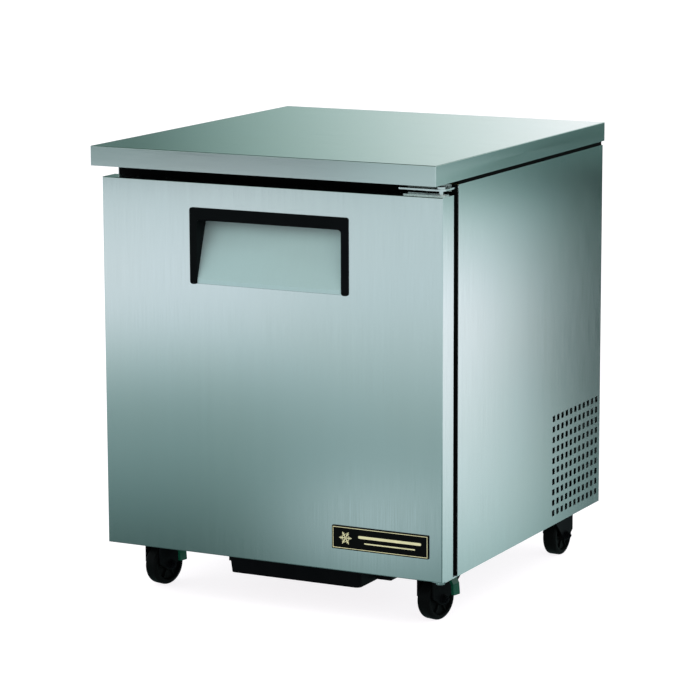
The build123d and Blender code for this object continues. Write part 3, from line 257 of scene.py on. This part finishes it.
def make_steels():
    """The four brushed metals: upright sheets, the level worktop, the scoop plate and the liners."""
    upright = {"grain": (1500, 1500, 12), "streak": (60, 60, 0.9)}
    level = {"grain": (12, 1500, 1500), "streak": (0.9, 60, 60)}
    satin = brushed("stainless_satin", SATIN_STEEL, roughness=0.55, anisotropy=0.3, **upright)
    satin.set(Metallic=0.7)
    liner = brushed(
        "liner_aluminium", colour(222, 225, 226), grain=(600, 600, 20), streak=(30, 30, 2),
        roughness=0.42, anisotropy=0.3, strength=1.5,
    )
    liner.set(Metallic=0.6)
    sides = brushed("stainless_vertical", STEEL, **upright)
    top = brushed("stainless_top", STEEL, **level)
    # A level sheet spreads its highlight across grain that runs left to right.
    tangent = top.node("ShaderNodeTangent", direction_type="RADIAL", axis="X")
    top.feed(tangent.outputs[0], "Tangent")
    return {
        "stainless": sides.material,
        "stainless_top": top.material,
        "stainless_satin": satin.material,
        "liner_aluminium": liner.material,
    }


def make_materials():
    """Every material by its slot name.

    moulded takes roughness, grain scale, grain strength and specular level, painted takes roughness
    and specular level, and plated takes roughness and metallic share.
    """
    return {
        **make_steels(),
        "galvanised": galvanised("galvanised_sheet"),
        "bright_steel": plated("bright_steel", colour(205, 208, 208), 0.25),
        "zinc": plated("zinc_plate", colour(222, 226, 226), 0.22),
        "core_board": moulded("core_board_edge", colour(4, 5, 5), 0.7, 300, 0.3, 0.02),
        "breaker_plastic": moulded("breaker_plastic", colour(5, 6, 6), 0.6, 700, 0.15, 0.03),
        "black_plastic": moulded("black_plastic", colour(10, 11, 11), 0.5, 700, 0.2, 0.08),
        "handle_plastic": moulded("handle_plastic", colour(4, 6, 7), 0.45, 900, 0.2, 0.04),
        "rubber": moulded("black_rubber", colour(12, 12, 12), 0.75, 500, 0.25, 0.06),
        "wheel_rubber": moulded("wheel_rubber", colour(5, 6, 6), 0.45, 420, 0.25, 0.05),
        "gasket": moulded("gasket_vinyl", colour(6, 7, 7), 0.6, 600, 0.15, 0.05),
        "foam": moulded("foam", colour(214, 190, 120), 0.9, 260, 0.6, 0.1),
        "coil_aluminium": plated("coil_aluminium", colour(190, 196, 198), 0.38),
        "fan_metal": plated("fan_aluminium", colour(205, 210, 212), 0.32),
        "copper": plated("copper_tube", colour(206, 128, 86), 0.3),
        "white_plastic": moulded("white_plastic", colour(222, 222, 216), 0.35, 500, 0.1, 0.5),
        "fan_plastic": moulded("fan_plastic", colour(24, 26, 28), 0.45, 500, 0.2, 0.2),
        "black_paint": painted("black_paint", colour(5, 6, 8), 0.5, 0.05),
        "compressor_paint": painted("compressor_paint", colour(14, 15, 16), 0.25, 0.4),
        "caster_black": painted("caster_black", colour(5, 6, 7), 0.4, 0.05),
        "motor_paint": painted("motor_paint", colour(96, 102, 104), 0.4, 0.4),
        "shelf_coating": painted("shelf_coating", colour(214, 218, 216), 0.35, 0.5),
        "badge": painted("badge_enamel", colour(4, 5, 5), 0.3, 0.06),
        "gilt": plated("gilt_relief", colour(216, 212, 168), 0.45, 0.25),
        "pedal_green": painted("pedal_green", colour(6, 62, 44), 0.16, 0.6),
        # Dark print for the dial, also used as painted shade in the screw recesses.
        "ink_and_recess_shade": moulded("dial_ink_and_recess_shade", colour(24, 26, 28), 0.6, 300, 0.1, 0.05),
    }


MATERIALS = make_materials()
NODE_MATERIAL = {"worktop": "stainless_top", "handle_scoop": "stainless_satin"}


def finish_nodes():
    """Gives each CAD node its material: its slot's, or the one that NODE_MATERIAL names."""
    for row in frame["record"]["subparts"]:
        node = frame["nodes"][row["node"]]
        name = NODE_MATERIAL.get(row["node"], row["material_slot"])
        node.data.materials.clear()
        node.data.materials.append(MATERIALS[name])


# ---- Mesh helpers --------------------------------------------------------------------------------
FACE_FRONT = Matrix(((1, 0, 0), (0, 0, -1), (0, 1, 0))).to_4x4()  # local Y up, local Z to the viewer


def piece(name, bm, material, body, smooth_angle=35.0):
    """A new mesh object that rides a body."""
    mesh = bpy.data.meshes.new(name)
    bm.normal_update()
    bm.to_mesh(mesh)
    bm.free()
    for face in mesh.polygons:
        face.use_smooth = True
    mesh.set_sharp_from_angle(angle=math.radians(smooth_angle))
    made = new_object(name, mesh)
    mesh.materials.append(MATERIALS[material])
    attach(made, body)
    return made


def add_box(bm, low, high, bevel=0.0):
    """Adds a box between two corners; bevel rounds its edges."""
    low, high = Vector(low), Vector(high)
    size = high - low
    place = Matrix.Translation((low + high) / 2) @ Matrix.Diagonal((*size, 1.0))
    made = bmesh.ops.create_cube(bm, size=1.0, matrix=place)
    if bevel:
        edges = list({e for v in made["verts"] for e in v.link_edges})
        bmesh.ops.bevel(bm, geom=edges, offset=bevel, segments=2, affect="EDGES", clamp_overlap=True)


def add_lathe(bm, profile, place, steps=48):
    """Adds a closed surface of revolution about local Z.  profile is a list of (radius, height)."""
    rings = []
    for radius, height in profile:
        ring = []
        for i in range(steps):
            angle = 2 * math.pi * i / steps
            point = Vector((radius * math.cos(angle), radius * math.sin(angle), height))
            ring.append(bm.verts.new(place @ point))
        rings.append(ring)
    for first, second in zip(rings, rings[1:]):
        for i in range(steps):
            j = (i + 1) % steps
            bm.faces.new((first[i], first[j], second[j], second[i]))
    bm.faces.new(reversed(rings[0]))
    bm.faces.new(rings[-1])


def add_prism(bm, outline, place, height, bevel=0.0):
    """Adds a flat outline of (x, y) points in local XY, raised along local Z."""
    low = [bm.verts.new(place @ Vector((x, y, 0.0))) for x, y in outline]
    high = [bm.verts.new(place @ Vector((x, y, height))) for x, y in outline]
    bm.faces.new(reversed(low))
    top = bm.faces.new(high)
    count = len(outline)
    for i in range(count):
        j = (i + 1) % count
        bm.faces.new((low[i], low[j], high[j], high[i]))
    if bevel:
        bmesh.ops.bevel(bm, geom=list(top.edges), offset=bevel, segments=2, affect="EDGES")


def hexagon(radius):
    """Six corners about the origin."""
    return [(radius * math.cos(math.pi * i / 3), radius * math.sin(math.pi * i / 3)) for i in range(6)]


def rounded_outline(half_width, half_height, radius, steps=5):
    """A rectangle about the origin with round corners, anticlockwise."""
    points = []
    for cx, cy, start in ((1, 1, 0), (-1, 1, 90), (-1, -1, 180), (1, -1, 270)):
        for i in range(steps + 1):
            angle = math.radians(start + 90 * i / steps)
            points.append((
                cx * (half_width - radius) + radius * math.cos(angle),
                cy * (half_height - radius) + radius * math.sin(angle),
            ))
    return points


def bar_outline(start, end, half_width):
    """A bar along local X with a pointed end."""
    return [
        (start, -half_width), (end, -half_width), (end + half_width, 0), (end, half_width),
        (start, half_width),
    ]


def facing(place, direction):
    """A matrix at place whose local Z points along direction."""
    return Matrix.Translation(place) @ Vector(direction).to_track_quat("Z", "Y").to_matrix().to_4x4()


make_camera()
finish_nodes()


# ---- Badge: a snowflake and two plain stripes inside a thin rim ----------------------------------
RELIEF = 0.5 * MM
RIM_MARGIN = 2.2 * MM
RIM_WIDTH = 1.1 * MM
FLAKE_X = 28 * MM
FLAKE_ARM = 12.0 * MM
FLAKE_ARM_HALF_WIDTH = 0.8 * MM
TWIGS = ((5 * MM, 3.6 * MM), (8 * MM, 2.6 * MM))    # place along the arm and length
TWIG_HALF_WIDTH = 0.55 * MM
STRIPES = ((54, 180, 26, 5.0), (66, 168, 15, 2.2))  # left end, right end, level, thickness, in mm


def badge_front(x, z):
    """Matrix on the badge face, with local X to the right, Y up and Z towards the viewer."""
    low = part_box("badge_plate")[0]
    return Matrix.Translation((low.x + x, low.y, low.z + z)) @ FACE_FRONT


def make_badge_rim(width, height):
    """Four strips just inside the edge of the plate."""
    inner = RIM_MARGIN + RIM_WIDTH
    rim = bmesh.new()
    for x0, x1, z0, z1 in (
        (RIM_MARGIN, width - RIM_MARGIN, RIM_MARGIN, inner),
        (RIM_MARGIN, width - RIM_MARGIN, height - inner, height - RIM_MARGIN),
        (RIM_MARGIN, inner, inner, height - inner),
        (width - inner, width - RIM_MARGIN, inner, height - inner),
    ):
        outline = [(0, 0), (x1 - x0, 0), (x1 - x0, z1 - z0), (0, z1 - z0)]
        add_prism(rim, outline, badge_front(x0, z0), RELIEF, 0.15 * MM)
    piece("badge_rim", rim, "gilt", "door")


def make_badge_flake(height):
    """Six arms with two pairs of twigs each."""
    flake = bmesh.new()
    for arm in range(6):
        turn = badge_front(FLAKE_X, height / 2) @ Matrix.Rotation(math.pi * arm / 3, 4, "Z")
        add_prism(flake, bar_outline(0, FLAKE_ARM, FLAKE_ARM_HALF_WIDTH), turn, RELIEF, 0.12 * MM)
        for reach, length in TWIGS:
            twig = bar_outline(0, length, TWIG_HALF_WIDTH)
            for side in (-1, 1):
                lean = Matrix.Rotation(side * math.pi / 3, 4, "Z")
                branch = turn @ Matrix.Translation((reach, 0, 0)) @ lean
                add_prism(flake, twig, branch, RELIEF * 0.9, 0.1 * MM)
    piece("badge_snowflake", flake, "gilt", "door")


def make_badge_stripes():
    """Two plain bars with round ends."""
    stripes = bmesh.new()
    for start, end, level, thickness in STRIPES:
        bar = rounded_outline((end - start) / 2 * MM, thickness / 2 * MM, thickness / 2.2 * MM)
        place = badge_front((start + end) / 2 * MM, level * MM)
        add_prism(stripes, bar, place, RELIEF, 0.15 * MM)
    piece("badge_stripes", stripes, "gilt", "door")


def make_badge():
    """The relief on the badge plate."""
    low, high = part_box("badge_plate")
    size = high - low
    make_badge_rim(size.x, size.z)
    make_badge_flake(size.z)
    make_badge_stripes()


make_badge()


# ---- Gasket: bellows section swept round the door ------------------------------------------------
GASKET_WIDTH = 18 * MM
# Points of the section: share of the width from the outside, share of the depth from the door.
GASKET_SECTION = (
    (0.00, 0.00), (0.00, 0.20), (0.16, 0.26), (0.06, 0.36), (0.20, 0.44), (0.06, 0.54), (0.20, 0.62),
    (0.04, 0.72), (0.04, 0.97), (0.10, 1.00), (0.90, 1.00), (0.96, 0.97), (0.96, 0.72), (0.80, 0.62),
    (0.94, 0.54), (0.80, 0.44), (0.94, 0.36), (0.84, 0.26), (1.00, 0.20), (1.00, 0.00),
)


def make_gasket():
    """Replaces the plain seal with a folded bellows section, mitred at the corners."""
    low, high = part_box("door_gasket")
    depth = high.y - low.y
    bm = bmesh.new()
    loops = []
    for across, along in GASKET_SECTION:
        inset = across * GASKET_WIDTH
        left, right = low.x + inset, high.x - inset
        bottom, top = low.z + inset, high.z - inset
        y = low.y + along * depth
        corners = ((left, bottom), (right, bottom), (right, top), (left, top))
        loops.append([bm.verts.new((x, y, z)) for x, z in corners])
    count = len(loops)
    for i in range(count):
        first, second = loops[i], loops[(i + 1) % count]
        for k in range(4):
            m = (k + 1) % 4
            bm.faces.new((first[k], second[k], second[m], first[m]))
    bmesh.ops.recalc_face_normals(bm, faces=bm.faces)
    made = piece("gasket_bellows", bm, "gasket", "door", 60.0)
    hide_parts("door_gasket")


make_gasket()


# ---- Small parts that the CAD model leaves plain: casters ----------------------------------------
JOINTS = {joint["name"]: joint for joint in frame["joints"]}
CORNERS = ("front_right", "front_left", "rear_right", "rear_left")
HUB_DISH = 8.5 * MM          # from the middle of a wheel to its dished sides
LEG_FACE = 19.5 * MM         # from the middle of a wheel to the outer face of a fork leg
AXLE_BOSS = 24.5 * MM        # and to the end of its axle boss
RIB_COUNT = 6
RIB_INNER = 12 * MM
RIB_OUTER = 28.5 * MM
RIB_INNER_HALF_WIDTH = 1.8 * MM
RIB_OUTER_HALF_WIDTH = 1.2 * MM
RIB_HEIGHT = 3.8 * MM
WASHER_RADIUS = 9.8 * MM
WASHER_THICKNESS = 1.0 * MM
NUT_RADIUS = 6.6 * MM
NUT_HEIGHT = 3.4 * MM
THREAD_RADIUS = 3.1 * MM
THREAD_HEIGHT = 6.0 * MM
RACE_RADIUS = 25.6 * MM
RACE_Z = 90.05 * MM
RACE_HEIGHT = 0.9 * MM


def add_wheel_ribs(bm, axle):
    """Tapered ribs in the dished side of a wheel."""
    rib = (
        (RIB_INNER, -RIB_INNER_HALF_WIDTH), (RIB_OUTER, -RIB_OUTER_HALF_WIDTH),
        (RIB_OUTER, RIB_OUTER_HALF_WIDTH), (RIB_INNER, RIB_INNER_HALF_WIDTH),
    )
    for i in range(RIB_COUNT):
        turn = Matrix.Rotation(2 * math.pi * i / RIB_COUNT, 4, "Z")
        place = axle @ turn @ Matrix.Translation((0, 0, HUB_DISH))
        add_prism(bm, rib, place, RIB_HEIGHT, 0.6 * MM)


def add_axle_nut(bm, axle):
    """A washer on the fork leg, and a nut with a thread end on the axle boss."""
    edge = 0.3 * MM
    washer = (
        (WASHER_RADIUS, 0.0), (WASHER_RADIUS, WASHER_THICKNESS - edge),
        (WASHER_RADIUS - 2 * edge, WASHER_THICKNESS),
    )
    add_lathe(bm, washer, axle @ Matrix.Translation((0, 0, LEG_FACE)))
    boss = axle @ Matrix.Translation((0, 0, AXLE_BOSS))
    add_prism(bm, hexagon(NUT_RADIUS), boss, NUT_HEIGHT, 0.5 * MM)
    chamfer = 0.6 * MM
    thread = (
        (THREAD_RADIUS, 0.0), (THREAD_RADIUS, THREAD_HEIGHT - chamfer),
        (THREAD_RADIUS - chamfer, THREAD_HEIGHT),
    )
    add_lathe(bm, thread, boss, 24)


def make_caster_details(corner):
    """Wheel ribs, axle nuts with washers and thread ends, and the bright ring of the swivel race."""
    roll = JOINTS[f"roll_{corner}"]
    ribs, nuts = bmesh.new(), bmesh.new()
    for side in (-1, 1):
        axle = facing(roll["pos_m"], Vector(roll["axis"]) * side)
        add_wheel_ribs(ribs, axle)
        add_axle_nut(nuts, axle)
    piece(f"wheel_ribs_{corner}", ribs, "wheel_rubber", f"wheel_{corner}")
    piece(f"axle_nuts_{corner}", nuts, "black_paint", f"caster_{corner}")

    x, y = JOINTS[f"swivel_{corner}"]["pos_m"][:2]
    rounding = 0.4 * MM
    ring = (
        (RACE_RADIUS - rounding, 0.0), (RACE_RADIUS, RACE_HEIGHT / 3),
        (RACE_RADIUS, RACE_HEIGHT * 2 / 3), (RACE_RADIUS - rounding, RACE_HEIGHT),
    )
    race = bmesh.new()
    add_lathe(race, ring, Matrix.Translation((x, y, RACE_Z)))
    piece(f"swivel_race_{corner}", race, "zinc", f"caster_{corner}")


# ---- Small parts: painted shade of the screw recesses --------------------------------------------
# The crosses paint the shade of the screw recesses as thin raised marks; this is their thickness.
RECESS_SHADE_THICKNESS = 0.12 * MM
BACK_SCREWS_Y = 0.3          # screws further back than this face backwards, the others forwards


def islands(node):
    """Lowest and highest corners of each separate solid in a CAD node."""
    bm = bmesh.new()
    bm.from_mesh(frame["nodes"][node].data)
    bmesh.ops.remove_doubles(bm, verts=bm.verts, dist=0.01 * MM)
    waiting = set(bm.verts)
    found = []
    while waiting:
        front = [waiting.pop()]
        solid = []
        while front:
            vert = front.pop()
            solid.append(vert.co.copy())
            for edge in vert.link_edges:
                other = edge.other_vert(vert)
                if other in waiting:
                    waiting.remove(other)
                    front.append(other)
        found.append((
            Vector(min(co[i] for co in solid) for i in range(3)),
            Vector(max(co[i] for co in solid) for i in range(3)),
        ))
    bm.free()
    return found


def make_screw_recesses():
    """A dark cross on every screw head, on the side that faces away from the sheet: painted shade of its cross
    recess, which is not cut.
    """
    bm = bmesh.new()
    for low, high in islands("cabinet_screws"):
        middle, size = (low + high) / 2, high - low
        if size.z < size.y:
            direction, reach = Vector((0, 0, -1)), size.z / 2
        else:
            direction, reach = Vector((0, 1 if middle.y > BACK_SCREWS_Y else -1, 0)), size.y / 2
        place = facing(middle + direction * reach, direction)
        bar = rounded_outline(size.x * 0.3, size.x * 0.07, size.x * 0.06, 2)
        for angle in (45, 135):
            turn = Matrix.Rotation(math.radians(angle), 4, "Z")
            add_prism(bm, bar, place @ turn, RECESS_SHADE_THICKNESS)
    piece("screw_recess_shade", bm, "ink_and_recess_shade", "cabinet")


# ---- Small parts: thermostat scale ---------------------------------------------------------------
TICK_COUNT = 19
TICK_STEP = 15               # degrees; every second tick is long and has a number
TICK_RADIUS = 21 * MM
TICK_HALF_WIDTH = 0.35 * MM
LONG_TICK = 3.4 * MM
SHORT_TICK = 2.0 * MM
NUMBER_RADIUS = 29 * MM
NUMBER_SIZE = 6.5 * MM
NUMBER_HALF_DEPTH = 0.08 * MM


def make_dial_ticks(centre):
    """Ticks over the knob's 270 degrees."""
    ticks = bmesh.new()
    for i in range(TICK_COUNT):
        place = Matrix.Translation(centre) @ FACE_FRONT
        place = place @ Matrix.Rotation(math.radians(i * TICK_STEP), 4, "Z")
        outer = TICK_RADIUS + (LONG_TICK if i % 2 == 0 else SHORT_TICK)
        tick = (
            (-TICK_HALF_WIDTH, TICK_RADIUS), (TICK_HALF_WIDTH, TICK_RADIUS),
            (TICK_HALF_WIDTH, outer), (-TICK_HALF_WIDTH, outer),
        )
        add_prism(ticks, tick, place, 0.15 * MM)
    piece("dial_ticks", ticks, "ink_and_recess_shade", "cabinet")


def make_dial_number(centre, number):
    """One plain number beside its long tick."""
    angle = math.radians(number * 2 * TICK_STEP)
    text = bpy.data.curves.new("dial_number", "FONT")
    text.body = str(number)
    text.size = NUMBER_SIZE
    text.extrude = NUMBER_HALF_DEPTH
    text.align_x, text.align_y = "CENTER", "CENTER"
    maker = bpy.data.objects.new("dial_number_maker", text)
    mesh = bpy.data.meshes.new_from_object(maker)
    bpy.data.objects.remove(maker)
    out, up = -math.sin(angle) * NUMBER_RADIUS, math.cos(angle) * NUMBER_RADIUS
    spot = centre + Vector((out, -NUMBER_HALF_DEPTH, up))
    mesh.transform(Matrix.Translation(spot) @ FACE_FRONT)
    made = new_object(f"dial_number_{number}", mesh)
    mesh.materials.clear()
    mesh.materials.append(MATERIALS["ink_and_recess_shade"])
    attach(made, "cabinet")


def make_dial_scale():
    """Ticks and the numbers 0 to 9 round the thermostat knob."""
    x, _, z = JOINTS["thermostat_turn"]["pos_m"]
    centre = Vector((x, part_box("evaporator_cover")[0].y, z))
    make_dial_ticks(centre)
    for number in range(10):
        make_dial_number(centre, number)


# ---- Small parts in the machine bay --------------------------------------------------------------
FIN_COUNT = 56
FIN_HALF_THICKNESS = 0.15 * MM
FIN_X = (275.8 * MM, 316.8 * MM)
FIN_Y = (162 * MM, 328 * MM)
FIN_BOTTOM_Z = 112 * MM
FIN_TOP_GAP = 2 * MM

STRAP_HALF_WIDTH = 4 * MM
STRAP_THICKNESS = 1.0 * MM
STRAP_START = 24 * MM        # from the cover's -X side to the ends of the strap

GLAND_BACK_Y = 368.6 * MM
GLAND_RIBS = 16
GLAND_RIB_LENGTH = 4.2 * MM
GLAND_RIB_ROOT = 1.2 * MM    # the rib starts this far inside the gland
GLAND_RIB_RISE = 0.7 * MM    # and ends this far outside it
GLAND_RIB_HALF_ROOT = 1.1 * MM
GLAND_RIB_HALF_TIP = 0.7 * MM


def make_condenser_fins():
    """Thin fins at a close pitch, standing just proud of the coil block."""
    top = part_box("condenser_coil")[1].z - FIN_TOP_GAP
    bm = bmesh.new()
    for i in range(FIN_COUNT):
        y = FIN_Y[0] + (FIN_Y[1] - FIN_Y[0]) * i / (FIN_COUNT - 1)
        low = (FIN_X[0], y - FIN_HALF_THICKNESS, FIN_BOTTOM_Z)
        high = (FIN_X[1], y + FIN_HALF_THICKNESS, top)
        add_box(bm, low, high)
    # Black paint of the fins, which is also painted shade for the dark inside of the machine bay.
    piece("condenser_fins", bm, "black_paint", "cabinet")


def make_terminal_strap():
    """Flat spring strap that holds the terminal cover on the compressor."""
    low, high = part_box("terminal_cover")
    middle = (low.y + high.y) / 2
    y0, y1 = middle - STRAP_HALF_WIDTH, middle + STRAP_HALF_WIDTH
    x0, x1 = low.x + STRAP_START, high.x + STRAP_THICKNESS
    bm = bmesh.new()
    add_box(bm, (x0, y0, high.z), (x1, y1, high.z + STRAP_THICKNESS), 0.3 * MM)
    add_box(bm, (high.x, y0, low.z), (x1, y1, high.z), 0.3 * MM)
    add_box(bm, (x0, y0, low.z - STRAP_THICKNESS), (x1, y1, low.z), 0.3 * MM)
    piece("terminal_strap", bm, "zinc", "cabinet")


def make_gland_ribs():
    """Grip ribs round the cord gland."""
    low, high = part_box("cord_gland")
    centre = ((low.x + high.x) / 2, GLAND_BACK_Y, (low.z + high.z) / 2)
    radius = (high.x - low.x) / 2
    root, tip = radius - GLAND_RIB_ROOT, radius + GLAND_RIB_RISE
    rib = (
        (-GLAND_RIB_HALF_ROOT, root), (GLAND_RIB_HALF_ROOT, root),
        (GLAND_RIB_HALF_TIP, tip), (-GLAND_RIB_HALF_TIP, tip),
    )
    bm = bmesh.new()
    for i in range(GLAND_RIBS):
        turn = Matrix.Rotation(2 * math.pi * i / GLAND_RIBS, 4, "Y")
        place = Matrix.Translation(centre) @ turn @ Matrix.Rotation(math.pi / 2, 4, "X")
        add_prism(bm, rib, place, GLAND_RIB_LENGTH, 0.2 * MM)
    piece("gland_ribs", bm, "black_plastic", "cabinet")


for wheel_corner in CORNERS:
    make_caster_details(wheel_corner)
make_screw_recesses()
make_dial_scale()
make_condenser_fins()
make_terminal_strap()
make_gland_ribs()


# ---- Studio: reflection tent ---------------------------------------------------------------------
# The steel shows what stands round it, so the tent carries the light and dark zones of a studio.
# Angles are in degrees about +Z from +X, heights in metres, and brightness runs from 0 to about 1.
TENT_RADIUS = 2.0
TENT_LOW, TENT_HIGH = -1.6, 3.4
TENT_COLUMNS, TENT_ROWS = 240, 125
TENT_STRENGTH = 1.5
TENT_BLACK = 0.03
WALLS_END, CEILING_START = 0.75, 0.95    # the door and the sides mirror what is below, the worktop the rest
FRONT_ZONE = (246, 26)                   # middle and half width of each zone
SIDE_ZONE = (57, 22)
BACK_ZONE = (116, 40)
ZONE_CORE = 0.6                          # share of its half width over which a zone is at full weight


def step(value, low, high):
    """Smooth change from 0 at low to 1 at high; low may be the larger one."""
    t = min(1.0, max(0.0, (value - low) / (high - low)))
    return t * t * (3 - 2 * t)


def patch(angle, height, middle, half_size):
    """A soft oval patch of light, 1 in its middle and 0 outside."""
    reach = math.hypot((angle - middle[0]) / half_size[0], (height - middle[1]) / half_size[1])
    return 1 - step(reach, 0.0, 1.0)


def front_glow(angle, height):
    """What the door mirrors: dark near the floor and bright at head height, flatter to the right."""
    left = 0.06 + 0.23 * step(height, -0.42, 0.08) + 0.41 * step(height, 0.02, 0.33)
    left -= 0.05 * step(height, 0.38, 0.55)
    right = 0.22 + 0.11 * step(height, -0.36, -0.16) + 0.27 * step(height, -0.08, 0.36)
    right += 0.28 * patch(angle, height, (253.5, -0.24), (10.0, 0.19))
    glow = left + (right - left) * step(angle, 244, 251)
    shadow = 0.62 - 0.34 * step(angle, 250, 257) - 0.10 * step(angle, 243, 238)
    return max(TENT_BLACK, glow - shadow * step(height, 0.60, 0.635))


def side_glow(angle, height):
    """What the right side mirrors: bright at its front, nearly dark at its back."""
    dark_from = 60.3 + 3.0 * step(height, 0.15, -0.35)
    rise = step(height, -0.62, 0.02) * (1 - 0.75 * step(height, 0.22, 0.60))
    glow = TENT_BLACK + 0.95 * (0.44 + 0.56 * rise) * step(angle, dark_from, 52.0)
    glow *= 1 - 0.22 * patch(angle, height, (52.5, -0.08), (4.5, 0.30))
    glow *= 1 - 0.60 * step(height, 0.44, 0.60)
    return glow + 0.10 * step(height, 0.56, 0.62) * step(angle, 55, 62)


def back_glow(angle):
    """What the worktop mirrors, high behind the object: it fades towards the left."""
    return 0.81 - 0.66 * min(1.0, max(0.0, (angle - 100.5) / 32.5))


def tent_glow(angle, height):
    """Brightness of the studio in one direction."""
    glow = 0.13 + 0.42 * step(height, -0.35, 0.35)
    for zone, (middle, reach) in ((front_glow, FRONT_ZONE), (side_glow, SIDE_ZONE)):
        weight = step(abs(angle - middle), reach, reach * ZONE_CORE)
        weight *= step(height, CEILING_START, WALLS_END)
        glow += (zone(angle, height) - glow) * weight
    middle, reach = BACK_ZONE
    weight = step(abs(angle - middle), reach, reach * ZONE_CORE) * step(height, WALLS_END, 0.98)
    glow += (back_glow(angle) - glow) * weight
    return glow * (1 - 0.85 * step(height, 1.3, 2.2))


def tent_colour(angle, height):
    """Brightness with its tint: dark zones are greener than bright ones, most of all at the side."""
    glow = tent_glow(angle, height)
    green = step(abs(angle - SIDE_ZONE[0]), 30, 16) * step(height, CEILING_START, WALLS_END)
    red = (0.50 + 0.58 * glow) * (1 - 0.09 * green)
    blue = 0.95 + 0.16 * glow - 0.07 * step(height, 0.6, 1.0) - 0.04 * green
    return (glow * red, glow, glow * blue, 1.0)


def tent_mesh():
    """Closed drum round the object, with its colours on its corners."""
    bm = bmesh.new()
    tone = bm.verts.layers.float_color.new("tone")
    rings = []
    for row in range(TENT_ROWS + 1):
        height = TENT_LOW + (TENT_HIGH - TENT_LOW) * row / TENT_ROWS
        ring = []
        for column in range(TENT_COLUMNS):
            degrees = 360 * column / TENT_COLUMNS
            angle = math.radians(degrees)
            vert = bm.verts.new((TENT_RADIUS * math.cos(angle), TENT_RADIUS * math.sin(angle), height))
            vert[tone] = tent_colour(degrees, height)
            ring.append(vert)
        rings.append(ring)
    for lower, upper in zip(rings, rings[1:]):
        for i in range(TENT_COLUMNS):
            j = (i + 1) % TENT_COLUMNS
            bm.faces.new((lower[i], lower[j], upper[j], upper[i]))
    bm.faces.new(rings[-1])
    bm.faces.new(rings[0])
    mesh = bpy.data.meshes.new("tent")
    bm.to_mesh(mesh)
    bm.free()
    return mesh


def tent_material():
    """Glows with the corner colours, and is not sampled as a lamp."""
    material = bpy.data.materials.new("tent_glow")
    material.use_nodes = True
    material.cycles.emission_sampling = "NONE"
    tree = material.node_tree
    tree.nodes.clear()
    tone = tree.nodes.new("ShaderNodeVertexColor")
    tone.layer_name = "tone"
    light = tree.nodes.new("ShaderNodeEmission")
    light.inputs["Strength"].default_value = TENT_STRENGTH
    output = tree.nodes.new("ShaderNodeOutputMaterial")
    tree.links.new(tone.outputs["Color"], light.inputs["Color"])
    tree.links.new(light.outputs[0], output.inputs[0])
    return material


def make_tent():
    """The tent that only reflections see.  The object stands inside it."""
    tent = new_object("tent", tent_mesh())
    for ray in ("camera", "diffuse", "transmission", "volume_scatter", "shadow"):
        setattr(tent, f"visible_{ray}", False)
    tent.data.materials.append(tent_material())


# ---- Studio: floor, backdrop and soft lights -----------------------------------------------------
FLOOR_HALF_SIZE = 40.0
FLOOR_TONE = (0.3, 0.3, 0.3, 1.0)
FLOOR_GLOW = (1.0, 0.98, 1.0, 1.0)
FLOOR_GLOW_STRENGTH = 0.86
BACKDROP_TONE = (1.0, 0.985, 1.0, 1.0)
LIGHT_SIZE = 1.2
KEY_POWER = 22
FILL_POWER = 10


def make_floor():
    """A wide pale floor that glows enough to stay nearly white under the soft shadow."""
    bm = bmesh.new()
    bmesh.ops.create_grid(bm, x_segments=1, y_segments=1, size=FLOOR_HALF_SIZE)
    mesh = bpy.data.meshes.new("floor")
    bm.to_mesh(mesh)
    bm.free()
    floor = new_object("floor", mesh)
    floor.visible_glossy = False
    pale = Shader("pale_floor")
    pale.set(
        Base_Color=FLOOR_TONE, Roughness=0.9, Specular_IOR_Level=0.0,
        Emission_Color=FLOOR_GLOW, Emission_Strength=FLOOR_GLOW_STRENGTH,
    )
    mesh.materials.append(pale.material)


def make_soft_light(name, place, target, power):
    """A square soft light that reflections don't show."""
    data = bpy.data.lights.new(name, "AREA")
    data.shape = "RECTANGLE"
    data.size = LIGHT_SIZE
    data.size_y = LIGHT_SIZE
    data.energy = power
    light = new_object(name, data)
    light.location = place
    light.rotation_mode = "QUATERNION"
    light.rotation_quaternion = (Vector(target) - Vector(place)).to_track_quat("-Z", "Y")
    light.visible_glossy = False


def make_world():
    """Plain white backdrop; it also lights the object softly from all round."""
    world = bpy.data.worlds.new("studio")
    bpy.context.scene.world = world
    world.use_nodes = True
    background = world.node_tree.nodes["Background"]
    background.inputs["Color"].default_value = BACKDROP_TONE
    background.inputs["Strength"].default_value = 1.0


make_floor()
make_tent()
make_world()
make_soft_light("key", place=(1.6, -1.4, 1.9), target=(0, 0, 0.5), power=KEY_POWER)
make_soft_light("fill", place=(-1.6, -1.2, 1.3), target=(0, 0, 0.4), power=FILL_POWER)
bpy.context.scene.view_settings.view_transform = "Standard"
